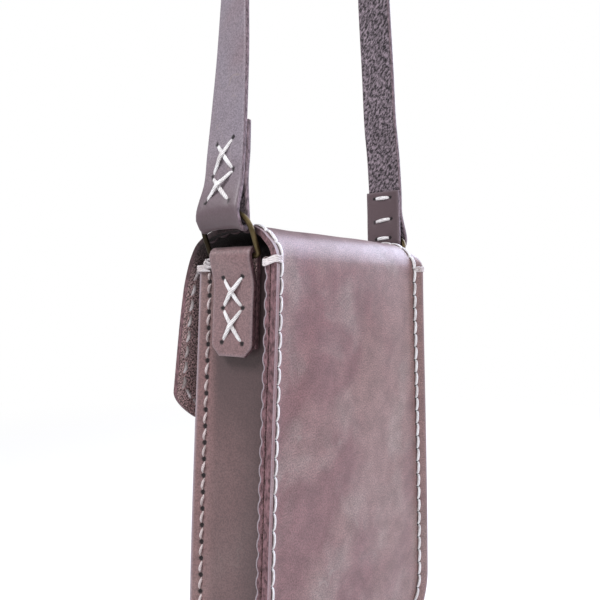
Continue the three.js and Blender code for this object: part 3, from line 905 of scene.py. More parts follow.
def shell_sheet(sizes):
    """Back panel, roll and flap in one piece of leather."""
    sheet = Sheet()
    lines = []
    steps = round(2 * SEAM_HALF_TOP / ACROSS_STEP)
    for distance in np.linspace(ROLL.length, 0, round(ROLL.length / FINE)):
        station, splay = roll_station(distance)
        section = flange_section(splay, BACK_BEND, roll_allowance(splay))
        lines.append(line_across(sheet, station, section, steps))
    keyhole_block(sheet, lines)
    roll_end = lines[-1]
    body = []
    stations = [back_station(d) for d in SEAM.distances(PANEL_TOP, SEAM.side + SEAM.round)]
    panel_body(
        sheet,
        body,
        stations,
        flange_section(BACK_SPLAY, BACK_BEND, SEAM_ALLOWANCE),
        steps,
        lambda station: 0,
    )
    sheet.weave(roll_end, body[0])
    return sheet


def keyhole_radius(angle, grow):
    """Distance from the keyhole's centre to its grown rim; angle 0 points up the flap."""
    sine = abs(math.sin(angle))
    radius = KEYHOLE_RADIUS + grow
    half = KEYHOLE_SLIT_HALF + grow
    if math.cos(angle) > 0 and sine * radius < half:
        return min(half / max(sine, TINY), (radius + KEYHOLE_SLIT) / math.cos(angle))
    return radius


def keyhole_ring(sheet, angles, centre, grow):
    """The knots of one ring round the keyhole."""
    points, normals, flats = [], [], []
    for angle in angles:
        x = keyhole_radius(angle, grow) * math.sin(angle)
        v = centre - keyhole_radius(angle, grow) * math.cos(angle)
        station, _ = roll_station(v)
        points.append(station.at * (0, 1, 1) + vec(x, 0, 0))
        normals.append(station.face)
        flats.append((x, v + ROLL_START))
    return list(sheet.line(np.array(points), np.array(normals), np.array(flats)))


def keyhole_block(sheet, lines):
    """Weaves the roll and flap and leaves a keyhole for the stud in the flap."""
    distances = np.linspace(0, ROLL.length, ROLL_SAMPLES)
    heights = [ROLL.at(ROLL.turn(d))[2] for d in distances]
    centre = float(np.interp(STUD_DROP, -np.array(heights), distances))
    middle = len(lines[0]) // 2
    flats = np.vstack(sheet.flats)
    reach = KEYHOLE_RADIUS + KEYHOLE_MARGIN
    rows = [
        k
        for k, line in enumerate(lines)
        if -reach - KEYHOLE_SLIT < flats[line[middle]][1] - ROLL_START - centre < reach
    ]
    columns = [k for k in range(len(lines[0])) if abs(flats[lines[rows[0]][k]][0]) < reach]
    top, bottom = rows[0], rows[-1]
    left, right = columns[0], columns[-1]
    for k, (line_a, line_b) in enumerate(zip(lines, lines[1:])):
        if top <= k < bottom:
            sheet.weave(line_a[: left + 1], line_b[: left + 1])
            sheet.weave(line_a[right:], line_b[right:])
        else:
            sheet.weave(line_a, line_b)
    ring = [lines[top][k] for k in range(left, right)]
    ring += [lines[k][right] for k in range(top, bottom)]
    ring += [lines[bottom][k] for k in range(right, left, -1)]
    ring += [lines[k][left] for k in range(bottom, top, -1)]
    around = np.linspace(-math.pi, math.pi, KEYHOLE_KNOTS, endpoint=False)
    slit = [side * angle for side in (-1, 1) for angle in SLIT_ANGLES]
    rim_angles = np.unique(np.concatenate((around, slit)))
    rim = keyhole_ring(sheet, rim_angles, centre, 0)
    collar = keyhole_ring(sheet, rim_angles, centre, KEYHOLE_COLLAR)
    for k, knot in enumerate(rim):
        sheet.faces.append((rim[k - 1], knot, collar[k], collar[k - 1]))

    def angle_of(knot):
        x, v = flats[knot] - (0, ROLL_START + centre)
        return math.atan2(x, -v)

    ring.sort(key=angle_of)
    zip_rings(sheet, ring, [angle_of(knot) for knot in ring], collar, list(rim_angles))


def zip_rings(sheet, ring, ring_angles, rim, rim_angles):
    """Fills the space between an outer and an inner ring of knots with triangles."""
    i = j = 0
    outer, inner = len(ring), len(rim)
    while i < outer or j < inner:
        next_outer = ring_angles[i + 1] if i + 1 < outer else math.pi + (i + 1 - outer)
        next_inner = rim_angles[j + 1] if j + 1 < inner else math.pi + (j + 1 - inner)
        a, b = ring[i % outer], rim[j % inner]
        if j >= inner or (i < outer and next_outer <= next_inner):
            i += 1
            sheet.faces.append((b, ring[i % outer], a))
        else:
            j += 1
            sheet.faces.append((b, rim[j % inner], a))


# Front panel

FRONT_SECTION = flange_section(FRONT_SPLAY, FRONT_BEND, FRONT_ALLOWANCE)
FRONT_LIFT = FRONT_SECTION.lift[list(FRONT_SECTION.along).index(0)]
FRONT_SEAM_DEPTH = -(FRONT_FACE + FRONT_LIFT)
FRONT_SHIFT = -(LAYER + LEATHER) * math.sin(FRONT_SPLAY)


def front_station(distance):
    at, across = SEAM.station(distance)
    at = at + across * FRONT_SHIFT
    flat = np.array((at[0], at[2]))
    at[1] = -FRONT_FACE
    return Station(at, across, vec(0, -1, 0), flat, np.array((across[0], across[2])))


def front_swell(station):
    along = share(station.at[2], CORNER_TOP - CORNER_RADIUS / 2, CROWN_TOP)
    return FRONT_CROWN * math.sin(math.pi * along) ** 2


def front_line(sizes):
    pitch = even_pitch(SEAM.length, sizes.stitch)
    on_line = list(FRONT_SECTION.along).index(0)
    distances = np.linspace(0, SEAM.length, round(SEAM.length / FINE))
    rows = [on_flange(front_station(d), FRONT_SECTION, 1) for d in distances]
    points = [row[0][on_line] for row in rows]
    normals = [row[1][on_line] for row in rows]
    kept = distances >= -GUSSET_TOP_FRONT
    counts = distances / pitch
    return StitchLine(counts[kept], np.array(points)[kept], np.array(normals)[kept])


def front_sheet(sizes):
    sheet = Sheet()
    steps = round(2 * SEAM_HALF_TOP / ACROSS_STEP)
    distances = SEAM.distances(GUSSET_TOP_FRONT, SEAM.side + SEAM.round)
    panel_body(
        sheet,
        [],
        [front_station(d) for d in distances],
        FRONT_SECTION,
        steps,
        front_swell,
    )
    return sheet


# Gusset


def gusset_curve():
    """Middle of the strip's thickness in section, from the front edge to the back edge."""
    back = vec(math.cos(BACK_SPLAY), math.sin(BACK_SPLAY), 0)
    back_normal = vec(-back[1], back[0], 0)
    back_lift = STITCH_INSET * back[1] + BACK_BEND / BACK_SPLAY * (1 - back[0])
    back_stitch = vec(0, BACK_FACE + back_lift, 0) - back_normal * (LAYER + LEATHER / 2)
    front = vec(math.cos(FRONT_SPLAY), -math.sin(FRONT_SPLAY), 0)
    front_normal = vec(-math.sin(FRONT_SPLAY), -math.cos(FRONT_SPLAY), 0)
    front_stitch = vec(FRONT_SHIFT, FRONT_SEAM_DEPTH, 0) - front_normal * (LAYER + LEATHER / 2)
    wall = [
        vec(
            -LEATHER / 2 - RECESS * row.sink,
            lerp(front_stitch[1], back_stitch[1], row.depth),
            0,
        )
        for row in WALL_ROWS
    ]
    return Curve(
        [
            front_stitch + front * FRONT_ALLOWANCE,
            front_stitch + front * FRONT_ALLOWANCE / 2,
            front_stitch,
            *wall,
            back_stitch - back * STITCH_INSET,
            back_stitch + back * SEAM_ALLOWANCE / 2,
            back_stitch + back * SEAM_ALLOWANCE,
        ]
    )


GUSSET = gusset_curve()
GUSSET_FRONT_TURN = 2  # the curve's point at the front stitches
GUSSET_BACK_TURN = GUSSET.count - 3 + STITCH_INSET / (STITCH_INSET + SEAM_ALLOWANCE / 2)


def gusset_knot(distance, turn, side):
    """Grain point and normal of the gusset at a distance along the seam."""
    at, across = SEAM.station(distance)
    section = GUSSET.at(turn)
    tangent = GUSSET.tangent(turn)
    point = at + across * section[0]
    point[1] = section[1]
    depths = (GUSSET.at(0)[1], GUSSET.at(GUSSET.count - 1)[1])
    lower = lerp(GUSSET_TOP_FRONT - GUSSET_TOP_BACK, 0, share(section[1], *depths))
    point[2] += lower * share(at[2], -2 * SEAM_ALLOWANCE, GUSSET_TOP_BACK)
    normal = across * tangent[1] - vec(0, tangent[0], 0)
    return mirrored(point + normal * LEATHER / 2, side), mirrored(normal, side)


def gusset_line(turn, sizes):
    pitch = even_pitch(SEAM.length, sizes.stitch)
    distances = np.linspace(0, SEAM.length, round(SEAM.length / FINE))
    knots = [gusset_knot(d, turn, 1) for d in distances]
    points = [point for point, _ in knots]
    normals = [normal for _, normal in knots]
    return StitchLine(distances / pitch, points, normals)


def gusset_sheet(sizes):
    """One strip down one side, along the bottom and up the other side."""
    sheet = Sheet()
    wall = np.linspace(GUSSET_FRONT_TURN, GUSSET_BACK_TURN, GUSSET_STEPS)
    ends = np.linspace(0, 1, FLANGE_STEPS + 1)
    turns = np.concatenate(
        (
            ends[:-1] * GUSSET_FRONT_TURN,
            wall,
            lerp(GUSSET_BACK_TURN, GUSSET.count - 1, ends[1:]),
        )
    )
    lengths = np.interp(turns, GUSSET.turns, GUSSET.lengths)
    half = SEAM.distances(GUSSET_TOP_BACK, SEAM.length)
    walk = [(-1, d) for d in half] + [(1, d) for d in half[-2::-1]]
    lines = []
    for side, distance in walk:
        knots = [gusset_knot(distance, t, side) for t in turns]
        run = side * (SEAM.length - distance)
        flats = np.stack((lengths, np.full(len(turns), run)), axis=1)
        points = np.array([point for point, _ in knots])
        normals = np.array([normal for _, normal in knots])
        lines.append(sheet.line(points, normals, flats))
    sheet.weave_all(lines)
    return sheet


# Tabs, rings and strap share one frame at each side: along the bag's depth, out and up

LUG_AT = vec(SEAM_HALF_TOP - RECESS / 2, 0, 0)
LUG_WIDE = vec(-math.sin(LUG_TURN), math.cos(LUG_TURN), 0)
LUG_OUT = vec(math.cos(LUG_TURN), math.sin(LUG_TURN), 0)


def lug(wide, out, up):
    follow = seam_half(min(up, 0)) - SEAM_HALF_TOP
    point = LUG_AT + LUG_WIDE * wide + LUG_OUT * (out + follow)
    point[2] = up
    return point


def loop_arc(centre_out, centre_up, radius, bend):
    angles = np.radians(np.linspace(bend[0], bend[1], LOOP_KNOTS))
    return [(centre_out + radius * math.cos(a), centre_up + radius * math.sin(a)) for a in angles]


def no_sag(point, across):
    return 0


class Ribbon:
    """A strip of leather along a curve, with a turning width.

    sag_at tells how far the strip hangs below its middle line at a place across its width.
    """

    def __init__(self, points, wides, sag_at=no_sag):
        self.sag_at = sag_at
        self.path = Curve(points)
        self.wides = Curve(wides) if len({tuple(w) for w in wides}) > 1 else None
        self.wide = wides[0]

    def frame(self, turn):
        """Middle of the strip, direction along it, direction across it and out of its grain."""
        along = self.path.tangent(turn)
        wide = self.wides.at(turn) if self.wides else self.wide
        wide = unit(wide - along * wide.dot(along))
        return self.path.at(turn), along, wide, unit(np.cross(wide, along))

    def turn_at(self, height, low, high):
        """The turn between two others at which the strip's middle passes a height."""
        turns = np.linspace(low, high, TURN_SAMPLES)
        heights = np.array([self.path.at(t)[2] for t in turns])
        order = np.argsort(heights)
        return float(np.interp(height, heights[order], turns[order]))

    def surface(self, turn, across, skin):
        """A point on the grain (skin 1) or flesh side (skin -1) and the normal there."""
        middle, _, wide, normal = self.frame(turn)
        sag = vec(0, 0, self.sag_at(middle, across))
        return middle + wide * across + normal * skin * LEATHER / 2 - sag, normal * skin

    def sheet(self, step, half_at):
        """A fine net on the grain side; half_at gives the half width at a distance."""
        made = Sheet()
        count = round(self.path.length / step)
        columns = np.linspace(-1, 1, RIBBON_COLUMNS + 1)[:, None]
        lines = []
        for distance in np.linspace(0, self.path.length, count + 1):
            middle, _, wide, normal = self.frame(self.path.turn(distance))
            half = half_at(distance)
            points = middle + normal * LEATHER / 2 + wide * half * columns
            points[:, 2] -= [self.sag_at(middle, half * column[0]) for column in columns]
            flats = np.hstack((columns * half, np.full(columns.shape, distance)))
            lines.append(made.line(points, normal, flats))
        made.weave_all(lines)
        return made


def tab_ribbon(sign):
    outline = [
        (TAB_OUTER, -TAB_DROP),
        (TAB_OUTER, -TAB_DROP + TAB_CORNER),
        (TAB_OUTER, -TAB_DROP / 2),
        (TAB_OUTER, TAB_TOP - TAB_THROAT),
        (lerp(TAB_OUTER, BAR_OUT + TAB_LOOP, TAB_SHOULDER), TAB_TOP - TAB_THROAT / 2),
        *loop_arc(BAR_OUT, TAB_TOP, TAB_LOOP, TAB_BEND),
        (TAB_INNER, TAB_TOP - TAB_THROAT),
        (TAB_INNER, -TAB_UNDER_DROP),
    ]
    points = [mirrored(lug(0, out, up), sign) for out, up in outline]
    wide = mirrored(LUG_WIDE, sign) * sign
    return Ribbon(points, [wide] * len(points))


def tab_half(distance):
    return STRAP_WIDTH / 2 - TAB_CORNER * (1 - share(distance, 0, TAB_CORNER))


def ring_wire():
    """Middle line of the D-ring's wire, as width and height in the ring's own plane."""
    bar = RING_HALF - RING_CORNER
    turn = CORNER_SHARES * math.pi / 2
    right = [(bar + RING_CORNER * math.sin(a), RING_CORNER * (1 - math.cos(a))) for a in turn]
    power = 2 / RING_SQUARENESS
    arch = []
    for angle in np.linspace(0, math.pi, ARCH_KNOTS):
        cos, sin = math.cos(angle), math.sin(angle)
        wide = RING_HALF * math.copysign(abs(cos) ** power, cos)
        arch.append((wide, RING_LEG + RING_ARCH * abs(sin) ** power))
    left = [(-wide, up) for wide, up in reversed(right)]
    return [(x, 0) for x in np.linspace(-bar, bar, BAR_KNOTS)] + right + arch + left


def ring_point(wide, up, lean):
    return lug(wide, BAR_OUT + up * math.sin(lean), TAB_TOP + up * math.cos(lean))


def arch_at(wide):
    rest = 1 - abs(wide / RING_HALF) ** RING_SQUARENESS
    return RING_LEG + RING_ARCH * rest ** (1 / RING_SQUARENESS)


def strap_loop(lean):
    low = arch_at(LOOP_EDGE)
    top = RING_LEG + RING_ARCH
    sin, cos = math.sin(lean), math.cos(lean)
    arc = loop_arc(BAR_OUT + low * sin, TAB_TOP + low * cos, STRAP_LOOP, STRAP_BEND)
    return [*arc, (BAR_OUT + top * sin + STRAP_LOOP, TAB_TOP + top * cos)]


def leg_point(row, side):
    height = row.height * STRAP_RISE
    spread = (row.right if side is RIGHT else row.left) * LEG_SPREAD * side.sign
    turned = share(height, TWIST_ROW.height * STRAP_RISE, STRAP_RISE - PEG_RADIUS)
    turn = math.radians(row.right_turn if side is RIGHT else row.left_turn)
    point = vec(spread, -spread * math.tan(PEG_TURN) * turned, height)
    return point, vec(math.sin(turn), math.cos(turn), 0)


def folded_rows(side):
    """The strap's end above a loop, one layer further in than the leg."""
    inward = unit(vec(-side.sign * math.cos(LUG_TURN), 0, -FOLDED_SLOPE))
    rows = [leg_point(row, side) for row in LEG_ROWS[:FOLDED_ROWS]]
    rows = [(point + inward * LAYER, wide) for point, wide in rows]
    (before, _), (last, wide) = rows[1:]
    part = (side.folded_top - before[2]) / (last[2] - before[2])
    rows[2] = (lerp(before, last, part), wide)
    return rows[::-1]


def strap_side(side):
    wide = mirrored(LUG_WIDE, side.sign)
    places = strap_loop(side.lean)
    loop = [(mirrored(lug(0, out, up), side.sign), wide) for out, up in places]
    return [*folded_rows(side), *loop, *(leg_point(row, side) for row in LEG_ROWS)]


def strap_top():
    wide = vec(math.sin(PEG_TURN), math.cos(PEG_TURN), 0)
    over = vec(math.cos(PEG_TURN), -math.sin(PEG_TURN), 0)
    rows = []
    for angle in np.radians(PEG_ANGLES):
        point = over * PEG_RADIUS * math.cos(angle)
        point[2] = STRAP_RISE - LEATHER / 2 - PEG_RADIUS + PEG_RADIUS * math.sin(angle)
        rows.append((point, wide))
    return rows


def loop_sag(point, across):
    """The strap's loop follows the ring's arch, so its edges hang lower than its middle."""
    near_ring = 1 - share(point[2], RING_LEG + RING_ARCH, SAG_END)
    return SAG_SHARE * (arch_at(0) - arch_at(across)) * near_ring


def strap_ribbon():
    rows = [*strap_side(RIGHT), *strap_top(), *strap_side(LEFT)[::-1]]
    return Ribbon([point for point, _ in rows], [wide for _, wide in rows], loop_sag)


def strap_turns(side, ribbon):
    """Turns of the strap's leg and of its folded end, each as its two limits."""
    if side is RIGHT:
        return LEG_TURNS, FOLDED_TURNS
    last = ribbon.path.count - 1
    return [[last - turn for turn in limits[::-1]] for limits in (LEG_TURNS, FOLDED_TURNS)]


# Thread


class Thread:
    """Flat waxed thread, laid stitch by stitch into one mesh."""

    def __init__(self, sizes):
        self.sizes = sizes
        self.mesh = bmesh.new()
        self.twist = self.mesh.verts.layers.float_vector.new("flat")

    def lay(self, points, normals, width=1.0, ends=TAPER):
        """A length of thread through points, flat against the surface that the normals leave.

        ends is the share of its width that it keeps at its ends.
        """
        points = np.array(points)
        along = unit(np.gradient(points, axis=0))
        sides = unit(np.cross(along, normals))
        tops = unit(np.cross(sides, along))
        run = np.concatenate(((0,), np.cumsum(np.linalg.norm(np.diff(points, axis=0), axis=1))))
        rings = []
        angles = np.linspace(0, 2 * math.pi, THREAD_SIDES, endpoint=False)
        for point, side, top, distance in zip(points, sides, tops, run):
            ring = []
            bulge = math.sin(math.pi * min(distance / run[-1], 1)) ** TAPER_EASE
            full = lerp(ends, 1, bulge)
            for angle in angles:
                across = side * math.cos(angle) * self.sizes.thread_width / 2 * width * full
                rise = top * math.sin(angle) * self.sizes.thread_height / 2 * full
                vert = self.mesh.verts.new(point + across + rise)
                vert[self.twist] = (angle / (2 * math.pi), distance, 0)
                ring.append(vert)
            rings.append(ring)
        skin(self.mesh, rings)
        self.mesh.faces.new(rings[0][::-1])
        self.mesh.faces.new(rings[-1])

    def span(self, start, end, hump=0.0, width=1.0):
        """A strand from one hole to another, each a point and a normal, over a hump if any."""
        points, normals = [], []
        drawn = self.sizes.hole / np.linalg.norm(end[0] - start[0])
        for part in np.linspace(0, 1, SPAN_STEPS):
            normal = unit(lerp(start[1], end[1], part))
            over = math.exp(-(((part - 0.5) / HUMP_REACH) ** 2))
            rise = self.rise(part, SPAN_DIP) + hump * over
            place = lerp(start[0], end[0], lerp(drawn, 1 - drawn, part))
            points.append(place + normal * rise)
            normals.append(normal)
        self.lay(points, normals, width)

    def rise(self, part, dip, depth=SUNK):
        """Height of the strand's middle over the surface; both ends dip into the holes."""
        return self.sizes.thread_height * lerp(-depth, PROUD, math.sin(math.pi * part) ** dip)

    def seam(self, line, slant, dip, depth, width, ends, bare):
        """One stitch from each hole of a line to the next, as one of the seam looks tells."""
        for hole in line.holes():
            if hole + 1 > line.counts[-1]:
                break
            points, normals = [], []
            start, end = line.at(hole)[0], line.at(hole + 1)[0]
            for part in np.linspace(0, 1, STITCH_STEPS):
                point, normal = line.at(hole + lerp(bare, 1 - bare, part))
                side = unit(np.cross(end - start, normal))
                lean = slant * math.sin(math.pi * (part - 0.5))
                points.append(point + normal * self.rise(part, dip, depth) + side * lean)
                normals.append(normal)
            self.lay(points, normals, width, ends)

    def wrap(self, upper, lower, reach, loose=0.0):
        """Strands from the first hole of one line round the cut edges to the line behind it."""
        count = upper.first()
        (top, out_of_top), (low, out_of_low) = upper.at(count), lower.at(count)
        down = unit(upper.at(count + 1)[0] - top)
        away = np.cross(down, out_of_top)
        away = unit(away * np.sign(away.dot(top * (1, 1, 0))))
        high = self.sizes.thread_height / 2
        near = reach - high
        far = reach + high + loose
        for shift in WRAP_SHIFTS:
            aside = down * shift * self.sizes.thread_width
            fallen = aside + down * WRAP_FALL
            path = [
                (top - out_of_top * 2 * high, out_of_top),
                (top + aside + away * 2 * high + out_of_top * (high + loose), out_of_top),
                (top + aside + away * near + out_of_top * (high + loose), out_of_top),
                (top + aside + away * far - out_of_top * high, away),
                (low + fallen + away * far - out_of_low * high, away),
                (low + fallen + away * near + out_of_low * (high + loose), out_of_low),
                (low + aside + away * 2 * high + out_of_low * (high + loose), out_of_low),
                (low - out_of_low * 2 * high, out_of_low),
            ]
            curve = Curve([point for point, _ in path])
            turns = np.linspace(0, len(path) - 1, WRAP_STEPS)
            columns = np.array([normal for _, normal in path]).T
            normals = [np.interp(turns, range(len(path)), column) for column in columns]
            points = [curve.at(turn) for turn in turns]
            self.lay(points, unit(np.array(normals).T), WRAP_WIDTH, ends=1)

    def knot(self, line):
        """Loose turns of thread left over the first hole of a line."""
        (place, normal), (below, _) = line.at(line.first()), line.at(line.first() + 1)
        down = unit(below - place)
        side = np.cross(down, normal)
        points, normals = [], []
        for part in np.linspace(0, 1, KNOT_STEPS):
            turn = 2 * math.pi * KNOT_TURNS * part
            aside = math.cos(turn) * KNOT_HALF * lerp(KNOT_START, 1, part)
            fall = math.sin(turn) * KNOT_HALF * KNOT_FLATNESS + KNOT_DROP * (part - 1)
            lift = KNOT_LIFT + KNOT_RIPPLE * math.sin(turn + KNOT_LAG)
            lift *= self.sizes.thread_height
            points.append(place + side * aside + down * fall + normal * lift)
            normals.append(normal)
        self.lay(points, normals, KNOT_WIDTH)

    def middle_stitch(self, line):
        """The stitch that crosses the middle of the bag, between a line and its mirror image."""
        hole = line.holes()[-1]
        start = line.at(hole)
        end = line.mirror().at(hole)
        self.span(start, end)

    def finish(self, name, material):
        bmesh.ops.recalc_face_normals(self.mesh, faces=self.mesh.faces)
        return hang(name, self.mesh, [material], sharp=80)


# Materials


def add_node(tree, kind, inputs=None, **settings):
    """Adds a node with its settings; an input is a value, or another node's output to link."""
    node = tree.nodes.new(kind)
    for name, value in settings.items():
        setattr(node, name, value)
    for key, value in (inputs or {}).items():
        if isinstance(value, bpy.types.NodeSocket):
            tree.links.new(value, node.inputs[key])
        else:
            node.inputs[key].default_value = value
    return node


# Sockets of the colour Mix node, whose names repeat
FACTOR, LOWER, UPPER, RESULT = 0, 6, 7, 2


def new_material(name):
    material = bpy.data.materials.new(name)
    material.use_nodes = True
    material.node_tree.nodes.clear()
    return material, material.node_tree


# Inputs of the Map Range node, in the order in which a range is given
RANGE = ("Value", "From Min", "From Max", "To Min", "To Max")

# painted shade in the stitch holes
HOLE_SHADE = linear("#120d10")
WORN_BRASS = linear("#6f6145")
# painted shade of the wire towards the bag's front
BRASS_SHADE = linear("#1d1916")

REDDENING = 2.5  # how much redder the grain is to one side of the hide, a metre
MOTTLE = 0.13  # how much lighter and darker its mottle goes, where the clouds are at 1

# Patterns of the grain. Real pores are about 0.15 mm wide, too fine to show in the render, so the
# fine ones and the relief are drawn as coarse as they need to show.
Pattern = namedtuple("Pattern", "name size detail roughness distortion")
GRAIN_PATTERNS = (
    Pattern("broad", 40 * MM, 3, 0.5, 0.2),
    Pattern("grey", 30 * MM, 3, 0.5, 0.4),
    Pattern("scratch", 13 * MM, 1, 0.5, 0),
    Pattern("middle", 9 * MM, 5, 0.65, 0.3),
    Pattern("relief", 0.8 * MM, 3, 0.6, 0),
    Pattern("fine", 0.6 * MM, 2, 0.6, 0),
)
SCRATCH_LEVEL = 0.5  # a scratch runs where its pattern passes this level
SCRATCH_HALF = 0.004


def oiled_grain(name, main, clouds, colours, seed, shaded=0.0, margin=0.4, dark=None):
    """Oiled pull-up leather, grain side: waxed and worn by hand.

    Its oils leave soft clouds of redder and greyer tone, over them a fine mottle of pores, and a
    low, broad sheen. Here and there lies a light scratch. The stitched rim is rubbed pale and
    carries a painted highlight, the stitch holes are painted dark as shade, and painted shade
    darkens the places that the shade attribute marks.
    """
    material, tree = new_material(name)
    flat = add_node(tree, "ShaderNodeAttribute", attribute_name="flat").outputs["Vector"]
    place = add_node(
        tree, "ShaderNodeVectorMath", {0: flat, 1: (seed, 2 * seed, seed)}, operation="ADD"
    ).outputs[0]
    marks = add_node(tree, "ShaderNodeAttribute", attribute_name="marks").outputs["Vector"]
    mark = add_node(tree, "ShaderNodeSeparateXYZ", {0: marks}).outputs
    shade = add_node(tree, "ShaderNodeAttribute", attribute_name="shade").outputs["Fac"]
    noises = {}
    for row in GRAIN_PATTERNS:
        inputs = {
            "Vector": place,
            "Scale": 1 / row.size,
            "Detail": row.detail,
            "Roughness": row.roughness,
            "Distortion": row.distortion,
        }
        noises[row.name] = add_node(tree, "ShaderNodeTexNoise", inputs).outputs["Fac"]
    side = add_node(tree, "ShaderNodeSeparateXYZ", {0: flat}).outputs[0]
    redder = add_node(
        tree,
        "ShaderNodeMath",
        {0: side, 1: REDDENING, 2: noises["broad"]},
        operation="MULTIPLY_ADD",
    ).outputs[0]
    pores = 0.2 + 0.17 * clouds
    mottle = MOTTLE * clouds
    ranges = {
        "redder": (redder, 0.36, 0.64, 0, clouds),
        "greyer": (noises["grey"], 0.45, 0.72, 0, clouds * 0.45),
        "pores": (noises["fine"], 0.3, 0.7, 1 - pores, 1 + pores),
        "mottle": (noises["middle"], 0.3, 0.7, 1 - mottle, 1 + mottle),
        "scratched": (noises["grey"], 0.52, 0.6, 0, 0.45),
        # painted shade: darkens the places that the shade attribute marks
        "painted_shade": (shade, 0, 1, 0, shaded),
        # pale rim beside the cut edges: partly rubbed grain, partly a painted highlight
        "rubbed": (mark[2], 0.1 * MM, 1.5 * MM, margin, 0),
        # painted shade in the stitch holes
        "hole": (mark[0], 0.75 * MM, 1.35 * MM, 0.97, 0),
        "dullness": (noises["middle"], 0.3, 0.7, 0.52, 0.44),
    }
    eased = {
        part: add_node(
            tree,
            "ShaderNodeMapRange",
            dict(zip(RANGE, limits)),
            interpolation_type="SMOOTHSTEP",
        ).outputs[0]
        for part, limits in ranges.items()
    }
    line = add_node(
        tree,
        "ShaderNodeMath",
        {0: noises["scratch"], 1: SCRATCH_LEVEL, 2: SCRATCH_HALF},
        operation="COMPARE",
    ).outputs[0]
    scratched = add_node(
        tree, "ShaderNodeMath", {0: line, 1: eased["scratched"]}, operation="MULTIPLY"
    ).outputs[0]
    mottled = add_node(
        tree, "ShaderNodeMath", {0: eased["pores"], 1: eased["mottle"]}, operation="MULTIPLY"
    ).outputs[0]
    tone = (*main, 1)
    layers = (
        (eased["redder"], colours.rose),
        (eased["greyer"], colours.smoke),
        (mottled, None),
        (scratched, colours.smoke),
        (eased["painted_shade"], dark or colours.painted_shade),
        (eased["rubbed"], colours.margin),
        (eased["hole"], HOLE_SHADE),
    )
    for factor, upper in layers:
        if upper is None:
            tone = add_node(
                tree, "ShaderNodeVectorMath", {0: tone, "Scale": factor}, operation="SCALE"
            ).outputs[0]
        else:
            tone = add_node(
                tree,
                "ShaderNodeMix",
                {FACTOR: factor, LOWER: tone, UPPER: (*upper, 1)},
                data_type="RGBA",
            ).outputs[RESULT]
    rough = add_node(
        tree, "ShaderNodeMath", {0: eased["hole"], 1: eased["dullness"]}, operation="MAXIMUM"
    ).outputs[0]
    relief = add_node(
        tree,
        "ShaderNodeMath",
        {0: noises["relief"], 1: 0.6, 2: noises["fine"]},
        operation="MULTIPLY_ADD",
    ).outputs[0]
    bump = add_node(
        tree,
        "ShaderNodeBump",
        {"Height": relief, "Strength": 0.4, "Distance": 0.15 * MM},
    ).outputs[0]
    shader = add_node(
        tree,
        "ShaderNodeBsdfPrincipled",
        {
            "Base Color": tone,
            "Roughness": rough,
            "Normal": bump,
            "IOR": 1.5,
            "Specular IOR Level": 0.5,
            "Sheen Weight": 0.1,
            "Sheen Roughness": 0.5,
        },
    )
    add_node(tree, "ShaderNodeOutputMaterial", {"Surface": shader.outputs[0]})
    return material


def fibrous_flesh(name, main, size, stretch, shaded=0.0):
    """Leather, flesh side: split and left rough, so it is dull and covered in slanting fibres.

    Real fibres are under 0.1 mm thick; size draws bundles of them, as coarse as they need to show.
    """
    material, tree = new_material(name)
    flat = add_node(tree, "ShaderNodeAttribute", attribute_name="flat").outputs["Vector"]
    slanted = add_node(
        tree,
        "ShaderNodeMapping",
        {"Vector": flat, "Rotation": (0, 0, math.radians(42)), "Scale": (1.0, stretch, 1.0)},
        vector_type="TEXTURE",
    ).outputs[0]
    fibre = add_node(
        tree,
        "ShaderNodeTexNoise",
        {"Vector": slanted, "Scale": 1 / size, "Detail": 5, "Roughness": 0.7},
    ).outputs["Fac"]
    patch = add_node(
        tree,
        "ShaderNodeTexNoise",
        {"Vector": flat, "Scale": 1 / (9 * MM), "Detail": 3, "Roughness": 0.6},
    ).outputs["Fac"]
    # painted shade: darkens the flesh where the shade attribute marks it
    painted_shade = add_node(tree, "ShaderNodeAttribute", attribute_name="shade").outputs["Fac"]
    tone = tuple(main)
    ranges = (
        (fibre, 0.4, 0.64, 0.15, 2.5),
        (patch, 0.3, 0.7, 0.85, 1.15),
        (painted_shade, 0, 1, 1, 1 - shaded),
    )
    for limits in ranges:
        eased = add_node(
            tree,
            "ShaderNodeMapRange",
            dict(zip(RANGE, limits)),
            interpolation_type="SMOOTHSTEP",
        ).outputs[0]
        tone = add_node(
            tree, "ShaderNodeVectorMath", {0: tone, "Scale": eased}, operation="SCALE"
        ).outputs[0]
    bump = add_node(
        tree,
        "ShaderNodeBump",
        {"Height": fibre, "Strength": 1.0, "Distance": size / 2},
    ).outputs[0]
    shader = add_node(
        tree,
        "ShaderNodeBsdfPrincipled",
        {
            "Base Color": tone,
            "Roughness": 0.85,
            "Normal": bump,
            "IOR": 1.45,
            "Specular IOR Level": 0.3,
            "Sheen Weight": 0.05,
            "Sheen Roughness": 0.6,
        },
    )
    add_node(tree, "ShaderNodeOutputMaterial", {"Surface": shader.outputs[0]})
    return material


